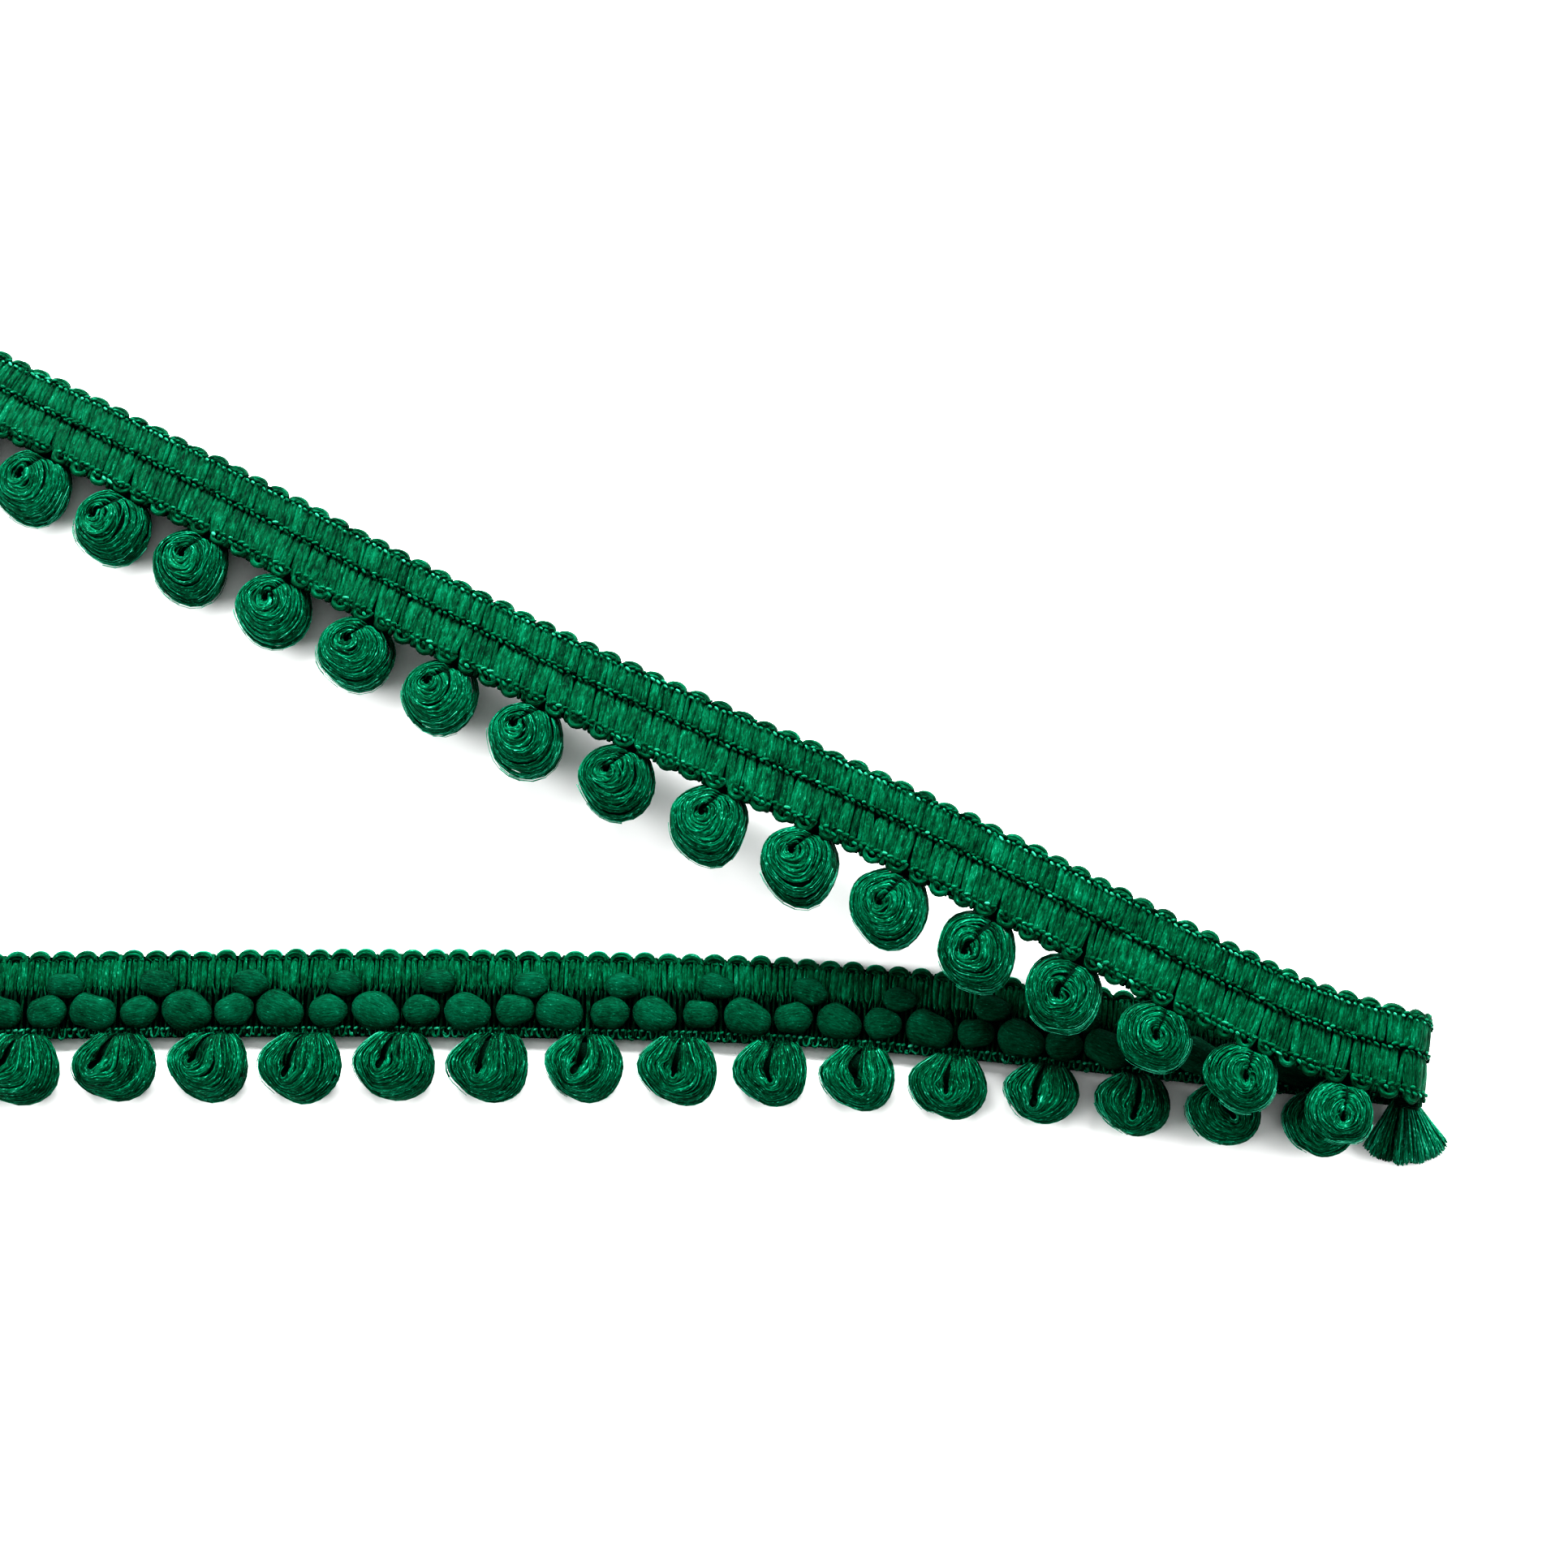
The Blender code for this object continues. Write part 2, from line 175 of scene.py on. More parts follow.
# Shapes of the ribs: (distance across, share of half width, half height)
FACE_UPPER_RIB = (
    (7.9, 0.30, 0.30), (8.5, 0.60, 0.55), (9.3, 0.92, 0.82), (10.8, 1.00, 0.90),
    (12.2, 0.98, 0.86), (13.2, 0.90, 0.78), (14.0, 0.75, 0.60), (14.6, 0.45, 0.36),
)
FACE_LOWER_RIB = (
    (0.5, 0.35, 0.20), (1.0, 0.40, 0.24), (1.8, 0.42, 0.24), (3.0, 0.42, 0.22),
    (4.6, 0.42, 0.22), (6.2, 0.42, 0.22), (7.6, 0.42, 0.24), (8.6, 0.35, 0.20),
)
BACK_UPPER_RIB = (
    (8.35, 0.75, 0.55), (8.8, 0.92, 0.72), (9.8, 1.00, 0.86), (11.2, 1.02, 0.90),
    (12.6, 1.02, 0.88), (13.4, 0.95, 0.80), (13.9, 0.85, 0.62), (14.4, 0.60, 0.45),
)
BACK_LOWER_RIB = (
    (0.5, 0.60, 0.40), (0.9, 0.80, 0.52), (1.6, 0.90, 0.66), (2.8, 1.00, 0.84),
    (4.2, 1.02, 0.90), (5.8, 1.02, 0.88), (7.2, 0.92, 0.74), (8.1, 0.70, 0.50),
)

# Bands of ribs: (shape, 0 for the face or 1 for the back, height over the middle, tone added). The lower
# ribs of the face cross the gaps between the tufts, and the tone added to them is painted shade
RIB_BANDS = (
    (FACE_UPPER_RIB, 0, 0.0, 0.0),
    (BACK_UPPER_RIB, 1, 0.0, 0.0),
    (FACE_LOWER_RIB, 0, 0.50, -0.45),
    (BACK_LOWER_RIB, 1, 0.0, 0.0),
)

# Dark holes under the scallops on the face, and where across the ribs give way to them
HOLE_HALF = 0.6
HOLE_DEPTH = 0.8
HOLE_START = 12.0
HOLE_RANGE = 2.6

# Creases that the tassels draw into the lower band of the back, to the left and right of their axes.
# Between the tassels the band bellies out
CREASE_PULLS = (-0.25, 0.75)
CREASE_REACHES = (1.4, 3.4)
CREASE_DEPTH = 5.6
CREASE_RISE = 1.0
CREASE_RISE_HALF = 1.6
CREASE_CLEAR = 0.7
BELLY_DROP = 0.5
BELLY_DEPTH = 2.5

# Loops of weft along the scalloped edge
SCALLOPS_PER_TASSEL = 4
SCALLOP_SHIFTS = (0.05, -0.08)
SCALLOP_LOW = 13.5
SCALLOP_HIGH = 15.05

# Strands of one scallop: (half span, shift across, shift proud, half thickness, tone). The pale outer
# strand of the face is painted light, a bright rim where light shines through the fuzz at the edge
FACE_SCALLOP = (
    (0.104, 0.30, 0.0, 0.19, 0.80),
    (0.100, 0.02, 0.30, 0.28, 0.15),
    (0.100, 0.02, -0.30, 0.28, 0.10),
    (0.090, -0.45, 0.52, 0.26, -0.05),
    (0.090, -0.45, -0.45, 0.30, -0.05),
    (0.078, -0.95, 0.25, 0.34, -0.25),
)
BACK_SCALLOP = (
    (0.102, 0.26, 0.0, 0.36, -0.05),
    (0.100, -0.02, 0.36, 0.40, -0.10),
    (0.100, -0.02, -0.36, 0.40, -0.05),
    (0.092, -0.65, -0.50, 0.40, -0.15),
    (0.092, -0.65, 0.30, 0.40, -0.20),
    (0.072, -1.20, -0.35, 0.42, -0.20),
)

# Loops of weft along the tassel edge, on the face and on the back: (loops per tassel, half span, top,
# bottom, half thickness, shift proud, rise at the tassels, tone)
EDGE_LOOPS = (
    (9, 0.040, 2.0, 0.45, 0.24, 0.45, 0.2, 0.30),
    (4, 0.085, 2.1, -0.10, 0.56, -0.15, 0.9, 0.0),
)
EDGE_RISE_HALF = 1.7

# Warp threads that cross the gaps on the face: (across, proud)
THREAD_ROWS = ((8.4, 1.40), (1.2, 1.25))
THREADS_PER_TASSEL = 15
THREAD_HALF_LENGTH = 0.95
THREAD_HALF_THICKNESS = 0.15
THREAD_PROFILE = (0.6, 1.0, 1.0, 1.0, 0.6)

# Rows of chain stitches: (across, proud, half length, half width, tone)
FACE_KNOTS = (
    (13.60, 1.60, 0.30, 0.13, -0.10),
    (1.75, 1.60, 0.34, 0.27, 0.45),
    (0.75, 1.30, 0.44, 0.26, 0.35),
)
BACK_KNOTS = (
    (14.15, 0.05, 0.46, 0.29, 0.00),
    # Painted glints: this row is paler
    (13.45, -0.10, 0.38, 0.26, 0.46),
    (8.60, 0.00, 0.44, 0.31, 0.08),
    (7.95, 0.02, 0.44, 0.29, 0.00),
    (1.85, -0.10, 0.46, 0.33, 0.12),
    (1.05, 0.00, 0.46, 0.32, 0.05),
)
KNOTS_PER_TASSEL = 14
KNOT_END_CLEAR = 0.04
KNOT_SLANT = 0.40
KNOT_HEIGHT = 0.9

# Shape of a knot: (place along it, share of its half width)
KNOT_PROFILE = ((-1.0, 0.25), (-0.72, 0.8), (0.0, 1.0), (0.72, 0.8), (1.0, 0.25))

# Share of the knots that carry painted glints, and what a glint adds to their tone
KNOT_GLINT_SHARE = 0.10
KNOT_GLINT_TONE = 0.25

# Yarn tufts on the face: (shift past the axis in tassels, across, half length, half width, height, drop)
TUFTS = (
    (-0.315, 4.55, 3.85, 3.00, 2.15, 1.25),
    (0.180, 4.65, 3.20, 2.65, 1.95, -0.25),
    (0.345, 9.35, 3.05, 2.15, 1.60, 0.40),
)
TUFT_STEPS = 16
TUFT_SIDES = 22
TUFT_LUMPS = 0.08
TUFT_SINK = 0.25
TUFT_END_CLEAR = 0.2
TUFT_LEAST = 0.05

# Bluntness of a tuft's left and right ends, and shares of its height
TUFT_BLUNTNESS = (3.2, 2.0)
TUFT_END_HEIGHT = 0.25
TUFT_HALF_THICKNESS = 0.62

# Looped tassels, as in the part's source. Those between the arms are squeezed: (half thickness, height of
# the middle)
TASSEL_HALF_THICKNESS = 4.2
TASSEL_RADIUS = 5.5
TASSEL_BLUNTNESS = 2.3
HANG_BELOW_HEADING = 2.6
FLOOR_FLAT = 0.6
SIZE_SPREAD = 0.05
LEAN_SPREAD = 0.6
SQUEEZED = {14: (3.5, 3.4), 15: (3.1, 3.0), 17: (3.3, 9.7), 18: (3.6, 10.6), 19: (3.9, 10.9)}

# Outlines of the looped tassels round their eyes: (sideways, out)
LOWER_OUTLINE = (
    (3.4, -0.5), (4.7, 0.7), (5.6, 2.6), (6.2, 4.8), (6.0, 7.2), (5.0, 9.4), (2.8, 11.0), (0.2, 11.6),
    (-2.8, 10.6), (-5.6, 8.8), (-7.6, 6.6), (-8.3, 4.4), (-7.3, 2.4), (-5.2, 0.7), (-3.3, -0.5), (0.0, -1.0),
)
UPPER_OUTLINE = (
    (2.0, -1.7), (4.6, 0.2), (6.2, 2.4), (6.8, 5.4), (6.5, 8.4), (5.0, 11.0), (1.9, 12.2), (-2.0, 11.8),
    (-5.1, 10.0), (-6.9, 7.2), (-7.2, 4.4), (-6.3, 2.0), (-4.2, 0.2), (-1.8, -1.3), (0.2, -2.0),
)
OUTLINE_SHARE = 0.95
OUTLINE_WAVES = ((2, 0.030), (3, 0.025), (5, 0.014))
OUTLINE_BLUR = (-0.16, -0.08, 0.0, 0.08, 0.16)

# Eyes of the lower tassels: (tassel index, sideways), their distance out, and their spread
LOWER_EYES = ((0, -3.0), (4, -2.8), (7, -1.4), (16, -0.9))
LOWER_EYE_OUT = 4.9
LOWER_EYE_SPREAD = 0.9

# Eyes of the upper tassels, from the fold on, as they lie in the photograph: (sideways, out)
UPPER_EYES = (
    (0.4, 6.0), (0.4, 5.2), (0.1, 5.5), (-1.0, 6.7), (-2.1, 7.2), (-1.9, 6.3), (-2.3, 4.6), (-1.9, 4.9),
    (-2.4, 5.0), (-3.2, 4.7), (-3.2, 4.7), (-2.2, 4.5), (-1.7, 4.8), (-1.7, 5.1), (-3.5, 6.0), (-2.3, 5.6),
    (-2.0, 5.4),
)
EYE_DIP = 2.4
EYE_REACH = 0.8

# Slots in the eyes of the lower and of the upper tassels: (half width, half length), and how they vary
SLOTS = ((0.30, 2.20), (0.22, 0.95))
SLOT_LENGTHS = (0.5, 1.1)
SLOT_TURNS = (-0.7, 0.3)

# Room for the heading: an upper tassel starts under it, and a lower one over it. Rises are (start out,
# length, height)
LEAST_HEIGHT = 0.3
CEILING_DEPTH = 1.35
CEILING_RISE = (-0.3, 1.6, 4.5)
SILL_RISE = (0.7, -1.0, 1.75)

# Core of a looped tassel, inside its strands, and the stem that joins an upper one to the heading. Their
# dark tone is painted shade, showing in the eye and in the gaps between the strands
CORE_SHADE_TONE = -0.9
CORE_CLEAR = 0.12
CORE_INSET = 0.6
CORE_THINNER = 0.55
CORE_OUT = 1.2
CORE_LEAST_HEIGHT = 0.35
STEM_REACH = (-1.0, 2.6)
STEM_HALF_WIDTH = 1.7
STEM_HALF_HEIGHT = 1.3

# Strands of a looped tassel. Lifts here are in quarter turns: 0 over the eye, 1 at the outline and 2 under
# it. Those of the under strands have a start and a range. Gaps in turns and lifts are in radians
TOP_STRANDS = 40
TOP_CROWDING = 0.9
TOP_LAST_LIFT = 1.04
UNDER_STRANDS = 8
UNDER_LIFTS = (1.10, 0.85)
UNDER_WIDENING = 2.2
STRAND_STEPS = 30
ROUND_CLEAR = 0.03
LIFT_CLEAR = 0.03
EDGE_SHARPNESS = 4.0
TWIST = 0.20
STRAND_WIDTHS = (0.13, 0.36)
STRAND_HEIGHTS = (0.09, 0.20)
STRAND_LEAST_HEIGHT = 0.25
GROOVES = 3
GROOVE_WIDTH = 2.6

# Spread of the drift of a lower and of an upper tassel's strands on their way round, and their sway
STRAND_DRIFTS = (0.05, 0.11)
STRAND_SWAYS = (0.026, 0.036)

# Looks of a lower and of an upper tassel's strands: (overlap, flatness, painted shade towards the
# underside, spread of tone, painted shade at the ends, where a lower tassel's strands gather into the
# heading)
STRAND_LOOKS = ((1.04, 0.50, 0.12, 0.10, 0.62), (1.22, 0.34, 0.05, 0.09, 0.0))

# A lower tassel's strands gather over the heading: shares of the strand, then places of its ends
GATHER_SHARE = 0.16
SINK_SHARE = 0.06
ROOT_OUT = -0.6
ROOT_SIDEWAYS = -0.3
ROOT_HALF = 3.5
ROOT_OVER = 0.95
ROOT_LAYER = 0.30
ROOT_DEPTH = 0.5
ROOT_SPREAD = 0.3

# An upper tassel is wound closed, and its strands' ends sink into it: share of the strand, and depth
TUCK_SHARE = 0.035
TUCK_DEPTH = 0.8

# Strands astray over the others
STRAY_STRANDS = 7
STRAY_RISE = 0.20
STRAY_THICKNESS = 0.13

# Loose wisps that stand off them. Starts are the steps of a strand where a lower and an upper one begin
WISPS = 14
WISP_STEPS = 5
WISP_STARTS = ((15, 24), (4, 14))
WISP_THICKNESS = 0.06
WISP_LEAST_HEIGHT = 0.15
# Pale tone of the wisps: painted light, shining through the thin fibres
WISP_LIGHT_TONE = 0.7

# Tassel at the fold, fanned out to either side of its turn. Depths and widths are by share of its reach
FAN_STRANDS = 320
FAN_COLUMNS = 15
FAN_REACH = 10.1
FAN_RAGGEDNESS = 0.7
FAN_SWEEP = 44.0
FAN_TURN = 12.0
FAN_NECK = (-1.7, -0.8)
FAN_NECK_HALF = 1.9
FAN_DROOP = 0.8
FAN_DEPTHS = ((-0.12, 0.9), (0.0, 1.3), (0.18, 1.3), (0.45, 1.5), (0.75, 1.3), (1.0, 0.9))
FAN_STRAND_WIDTHS = ((-0.12, 0.13), (0.2, 0.15), (0.6, 0.20), (0.92, 0.21), (1.0, 0.08))
FAN_WAVE = 0.16
FAN_EDGE = 0.85
FAN_FLATNESS = 0.62
# Painted shade towards the underside of each fan strand
FAN_CREVICE_SHADE = 0.22

# Tones of its strands: middle, spread, and painted light that the top and the right add, as they face
# the light. Gap: a dark band of painted shade in a deeper gap of the fan, (place, half width, depth)
FAN_TONES = (0.26, 0.07, 0.08, 0.05)
FAN_GAP_SHADE = (-0.50, 0.20, 0.50)

# Yarn wound round its neck, from one place along the strands to another. Its dark tone is painted
# shade, under the heading's edge
BINDING_TURNS = 5
BINDING_REACH = (0.1, 1.5)
BINDING_HALF_WIDTHS = (2.0, 2.5)
BINDING_HALF_HEIGHT = 1.65
BINDING_THICKNESS = 0.17
BINDING_SHADE_TONE = -0.55

# Lights, which face the same place: (name, place, size, power)
LIGHTS = (
    ("window", (0.10, 1.75, 1.08), (3.0, 0.7), 195.0),
    ("left_fill", (-1.70, -0.10, 0.90), (0.8, 1.6), 44.0),
    ("right_fill", (1.70, 0.20, 0.90), (0.8, 1.6), 33.0),
)
LIGHT_AIM = (0.0, -0.02, 0.0)

# Camera
CAMERA_DISTANCE = 450.0
CAMERA_AIM = (22.25, -8.47, 0.0)
CAMERA_NEAR = 10.0


def from_table(table, values):
    """Values of a two column table at places between its rows."""
    places, results = zip(*table)
    return np.interp(values, places, results)


def running_sum(rates, step):
    """Sum of rates over equal steps, starting from nothing."""
    return np.concatenate([[0.0], np.cumsum(rates)[:-1]]) * step


def path(table, lengths, start):
    """Coordinates of a path at lengths along it, from a table of its directions. Length 0 is the start."""
    turns = np.radians(from_table(table, lengths + ROUTE_STEP / 2))
    origin = int(-lengths[0] / ROUTE_STEP)
    sums = (running_sum(np.cos(turns), ROUTE_STEP), running_sum(np.sin(turns), ROUTE_STEP))
    return [values + (begin - values[origin]) for values, begin in zip(sums, start)]


def unit(vectors):
    """Vectors of length one along the last axis."""
    return vectors / np.maximum(np.linalg.norm(vectors, axis=-1, keepdims=True), 1e-12)


def smooth(values):
    """Smooth step from 0 to 1."""
    share = np.clip(values, 0.0, 1.0)
    return share * share * (3.0 - 2.0 * share)


def rise(places, start, length, height):
    """Smooth rise from nothing to a height, from a start and over a length, which is negative backwards."""
    return height * smooth((places - start) / length)


def bell(values):
    """Bell curve: 1 at zero, and falling to either side."""
    return np.exp(-(values ** 2))


def turns_round(count):
    """Equally spaced turns all round, in radians."""
    return 2.0 * math.pi * np.arange(count) / count


def joined(*parts):
    """Coordinates spread to one shape and joined along a new last axis."""
    return np.stack(np.broadcast_arrays(*parts), axis=-1)


def strays(chance, spread, count):
    """Random strays round zero, one for each of so many strands, as a column."""
    return chance.normal(0.0, spread, (count, 1))


def past_axis(numbers, pitch=USUAL_PITCH):
    """Distance along the heading past a tassel's axis, at places counted in tassels."""
    return ((numbers % 1.0) - 0.5) * pitch


class Lie:
    """Where each place of the flat trim lies once the trim is folded over."""

    def __init__(self):
        half = NUMBER_STEP / 2
        self.numbers = np.arange(0.0, TASSEL_COUNT + half, NUMBER_STEP)
        self.places = running_sum(from_table(PITCHES, self.numbers + half), NUMBER_STEP)
        self.length = float(self.places[-1])

        self.along = np.arange(-ROUTE_MARGIN, self.length + ROUTE_MARGIN, ROUTE_STEP)
        self.line_x, self.line_y = path(BEARINGS, self.along, START)
        self.past = np.arange(-SLOPE_MARGIN, SLOPE_MARGIN, ROUTE_STEP)
        self.run, self.climb = path(SLOPES, self.past, (0.0, 0.0))
        self.fold_x = float(np.interp(FOLD_ALONG, self.along, self.line_x))
        self.fold_y = float(np.interp(FOLD_ALONG, self.along, self.line_y))

    def place(self, number):
        """Length along the heading at places counted in tassels."""
        return np.interp(number, self.numbers, self.places)

    def pitch(self, number):
        """Distance between tassels at places counted in tassels."""
        half = NUMBER_STEP / 2
        return (self.place(number + half) - self.place(number - half)) / NUMBER_STEP

    def points(self, flat):
        """World points, in metres, of an array of (along, across, proud)."""
        along, across, proud = np.moveaxis(np.asarray(flat, float), -1, 0)
        bearing = np.radians(from_table(BEARINGS, along))
        share = from_table(WIDTHS, along)
        off = (across - HEADING_WIDTH / 2) * share
        across = across * share
        flat_x = np.interp(along, self.along, self.line_x) - np.sin(bearing) * off
        flat_y = np.interp(along, self.along, self.line_y) + np.cos(bearing) * off

        fold = math.radians(FOLD_BEARING)
        crease_x, crease_y = math.cos(fold), math.sin(fold)
        gap_x, gap_y = flat_x - self.fold_x, flat_y - self.fold_y
        past = gap_x * crease_y - gap_y * crease_x
        side = gap_x * crease_x + gap_y * crease_y

        slope = np.radians(from_table(SLOPES, past))
        roll = np.radians(from_table(ROLLS, along))
        lift = proud * np.cos(roll) + across * np.sin(roll)
        side = side + across * (np.cos(roll) - 1.0) - proud * np.sin(roll)
        run = np.interp(past, self.past, self.run) - np.sin(slope) * lift
        climb = np.interp(past, self.past, self.climb) + np.cos(slope) * lift
        x = self.fold_x + crease_y * run + crease_x * side
        y = self.fold_y - crease_x * run + crease_y * side
        return joined(x, y, climb) * MM

    def ups(self, flat):
        """Directions, away from the back, at an array of (along, across, proud)."""
        return unit(self.points(np.asarray(flat) + [0.0, 0.0, 0.1]) - self.points(flat))

    def tassel_axes(self, number):
        """Root in metres, sideways direction and outward direction of a tassel, level with the table."""
        along = float(self.place(number))
        root = self.points([along, 0.0, HEADING_MIDDLE])
        out = root - self.points([along, HEADING_WIDTH, HEADING_MIDDLE])
        out[2] = 0.0
        out = unit(out)
        return root, np.array([-out[1], out[0], 0.0]), out


def tassel_points(axes, place, height):
    """World points, in metres, of places on a tassel and of heights over the table."""
    root, sideways, out = axes
    points = root * [1.0, 1.0, 0.0] + (place[..., :1] * sideways + place[..., 1:] * out) * MM
    points[..., 2] = height * MM
    return points


def add_object(name, data):
    """A new object of some data, in the scene."""
    thing = bpy.data.objects.new(name, data)
    bpy.context.scene.collection.objects.link(thing)
    return thing


class Yarns:
    """Closed strands and shells of yarn that are gathered into one mesh."""

    def __init__(self, chance):
        self.chance = chance
        self.points, self.faces, self.fibres, self.tones = [], [], [], []
        self.count = 0

    def skin(self, points, fibres, tones):
        """Add closed tubes of the shape (tube, ring, side, 3), pressed flat where they lie on the table."""
        points[..., 2] = np.maximum(points[..., 2], TABLE_CLEAR * MM)
        tubes, rings, sides = points.shape[:3]
        index = self.count + np.arange(tubes * rings * sides).reshape(tubes, rings, sides)
        after = np.roll(index, -1, axis=2)
        quads = joined(index[:, :-1], index[:, 1:], after[:, 1:], after[:, :-1])
        faces = [quads.reshape(-1, 4), index[:, 0], index[:, -1, ::-1]]
        # All are turned inside out where the first tube's volume shows that its faces look inward
        middle = points[0].reshape(-1, 3).mean(axis=0)
        first = points.reshape(-1, 3)[quads[0].reshape(-1, 4) - self.count] - middle
        volume = np.einsum("ij,ij->i", first[:, 0], np.cross(first[:, 1], first[:, 2])).sum()
        if volume < 0.0:
            faces = [rows[:, ::-1] for rows in faces]
        self.points.append(points.reshape(-1, 3))
        self.faces.extend(faces)
        self.fibres.append(np.broadcast_to(fibres, points.shape).reshape(-1, 3))
        self.tones.append(np.broadcast_to(tones, (tubes, rings, sides)).ravel())
        self.count += tubes * rings * sides

    def tubes(self, centres, ups, half_width, half_height, sides, tones, **more):
        """Add strands. centres and ups have the shape (strand, step, 3), and thicknesses are in mm.

        Tones fall with painted shade towards the underside of each strand, and at its two ends, where the
        yarn goes in among others.
        """
        relief, square = more.get("relief", 0.0), more.get("square", 1.0)
        crevice, ends = more.get("crevice", CREVICE_SHADE), more.get("ends", 0.0)
        forward = unit(np.gradient(centres, axis=1))
        wide = unit(np.cross(forward, ups))
        high = np.cross(wide, forward)
        shape = centres.shape[:2]
        half_width = np.broadcast_to(half_width, shape)[..., None]
        half_height = np.broadcast_to(half_height, shape)[..., None]
        angles = turns_round(sides)
        swell = 1.0 + relief * self.chance.standard_normal((shape[0], 1, sides))
        across, over = np.cos(angles), np.sin(angles)
        side_part = np.sign(across) * np.abs(across) ** square * half_width * swell
        high_part = np.sign(over) * np.abs(over) ** square * half_height * swell
        offset = side_part[..., None] * wide[:, :, None] + high_part[..., None] * high[:, :, None]
        gaps = np.linalg.norm(np.diff(centres, axis=1), axis=-1) / MM
        length = np.concatenate([np.zeros((shape[0], 1)), np.cumsum(gaps, axis=1)], axis=1)
        fibres = joined(side_part, high_part, length[..., None])
        fibres = fibres + self.chance.uniform(0.0, FIBRE_SPREAD, (shape[0], 1, 1, 3))
        # Painted shade: each strand darkens towards its underside, and towards its ends
        underside_shade = crevice * np.minimum(over - CREVICE_SHADE_LEVEL, 0.0)
        end_shade = np.abs(np.linspace(-1.0, 1.0, shape[1])) ** 4
        tones = np.broadcast_to(tones, shape[:1])[:, None, None] + underside_shade - ends * end_shade[:, None]
        self.skin(centres[:, :, None] + offset * MM, fibres, tones)

    def laid(self, lie, flat, half_width, half_height, sides, tones, **more):
        """Add strands that lie on the trim at arrays of (along, across, proud)."""
        points, ups = lie.points(flat), lie.ups(flat)
        # On the upper arm the back is up, so its inner side is the one in shade
        turned = np.where(flat[..., :1] > lie.place(TURNING_NUMBER), -1.0, 1.0)
        self.tubes(points, ups * turned, half_width, half_height, sides, tones, **more)

    def make(self, name, material):
        """Make the mesh and its object, which rides on the part."""
        mesh = bpy.data.meshes.new(name)
        faces = [face for rows in self.faces for face in rows.tolist()]
        mesh.from_pydata(np.concatenate(self.points), [], faces)
        mesh.validate()
        mesh.shade_smooth()
        fibre = mesh.attributes.new("fibre", "FLOAT_VECTOR", "POINT")
        fibre.data.foreach_set("vector", np.concatenate(self.fibres).ravel())
        tone = mesh.attributes.new("tone", "FLOAT", "POINT")
        tone.data.foreach_set("value", np.concatenate(self.tones))
        mesh.materials.append(material)
        piece = add_object(name, mesh)
        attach(piece, "root")
        return piece


def set_inputs(node, inputs):
    """Set a shader node's inputs to values, or link them to other nodes' outputs."""
    for name, value in inputs.items():
        if isinstance(value, bpy.types.NodeSocket):
            node.id_data.links.new(value, node.inputs[name])
        else:
            node.inputs[name].default_value = value


def add_node(tree, kind, inputs, output=0, **settings):
    """Add a shader node with its inputs and settings, and give back one of its outputs."""
    node = tree.nodes.new("ShaderNode" + kind)
    for name, value in settings.items():
        setattr(node, name, value)
    set_inputs(node, inputs)
    return node.outputs[output]


def yarn_material(name, colours, fine_across, fine_along, contrast, grooves, roughness, glints, gloss):
    """Dyed yarn, with streaks and grooves along its fibres, bright flecks of painted glints, and a soft
    sheen in its own colour.
    """
    material = bpy.data.materials.new(name)
    material.use_nodes = True
    tree = material.node_tree
    fibre = add_node(tree, "Attribute", {}, "Vector", attribute_name="fibre")
    tone = add_node(tree, "Attribute", {}, "Fac", attribute_name="tone")
    fine = add_node(tree, "Mapping", {"Vector": fibre, "Scale": (fine_across, fine_across, fine_along)})
    streaks = add_node(tree, "TexNoise", {"Vector": fine, "Scale": 1.0, "Detail": 3.0, "Roughness": 0.7})
    patches = add_node(tree, "TexNoise", {"Vector": fibre, "Scale": 0.35, "Detail": 2.0})
    # Bright flecks of painted glints, where a finer noise is high
    spots = add_node(tree, "Mapping", {"Vector": fibre, "Scale": GLINT_SCALE})
    glint_noise = add_node(tree, "TexNoise", {"Vector": spots, "Scale": 1.0, "Detail": 1.0})
    begin, full = GLINT_LEVELS
    levels = {"Value": glint_noise, "From Min": begin, "From Max": full, "To Max": glints}
    glint = add_node(tree, "MapRange", levels)

    # The tone, streaks and patches are each spread round nothing, and half way up the ramp is the middle
    level = 0.5 - 0.5 * contrast - 0.5 * PATCH_CONTRAST
    for value, weight in ((tone, 0.5), (streaks, contrast), (patches, PATCH_CONTRAST)):
        level = add_node(tree, "Math", {0: value, 1: weight, 2: level}, operation="MULTIPLY_ADD")
    level = add_node(tree, "Math", {0: level, 1: glint}, operation="ADD")
    colour = add_node(tree, "ValToRGB", {"Fac": level})
    stops = colour.node.color_ramp.elements
    stops[0].position, stops[1].position = COLOUR_PLACES[0], COLOUR_PLACES[-1]
    for place in COLOUR_PLACES[1:-1]:
        stops.new(place)
    for stop, stop_colour in zip(stops, colours):
        stop.color = (*stop_colour, 1.0)

    ridges = {"Height": streaks, "Strength": grooves, "Distance": 0.15 * MM}
    look = {
        "Base Color": colour,
        "Normal": add_node(tree, "Bump", ridges),
        "Roughness": roughness,
        "Specular IOR Level": 0.07 * gloss,
        "Specular Tint": (0.02, 1.0, 0.60, 1.0),
        "Sheen Weight": 0.04 * gloss,
        "Sheen Roughness": 0.45,
        "Sheen Tint": (0.0, 0.50, 0.30, 1.0),
    }
    set_inputs(tree.nodes["Principled BSDF"], look)
    return material


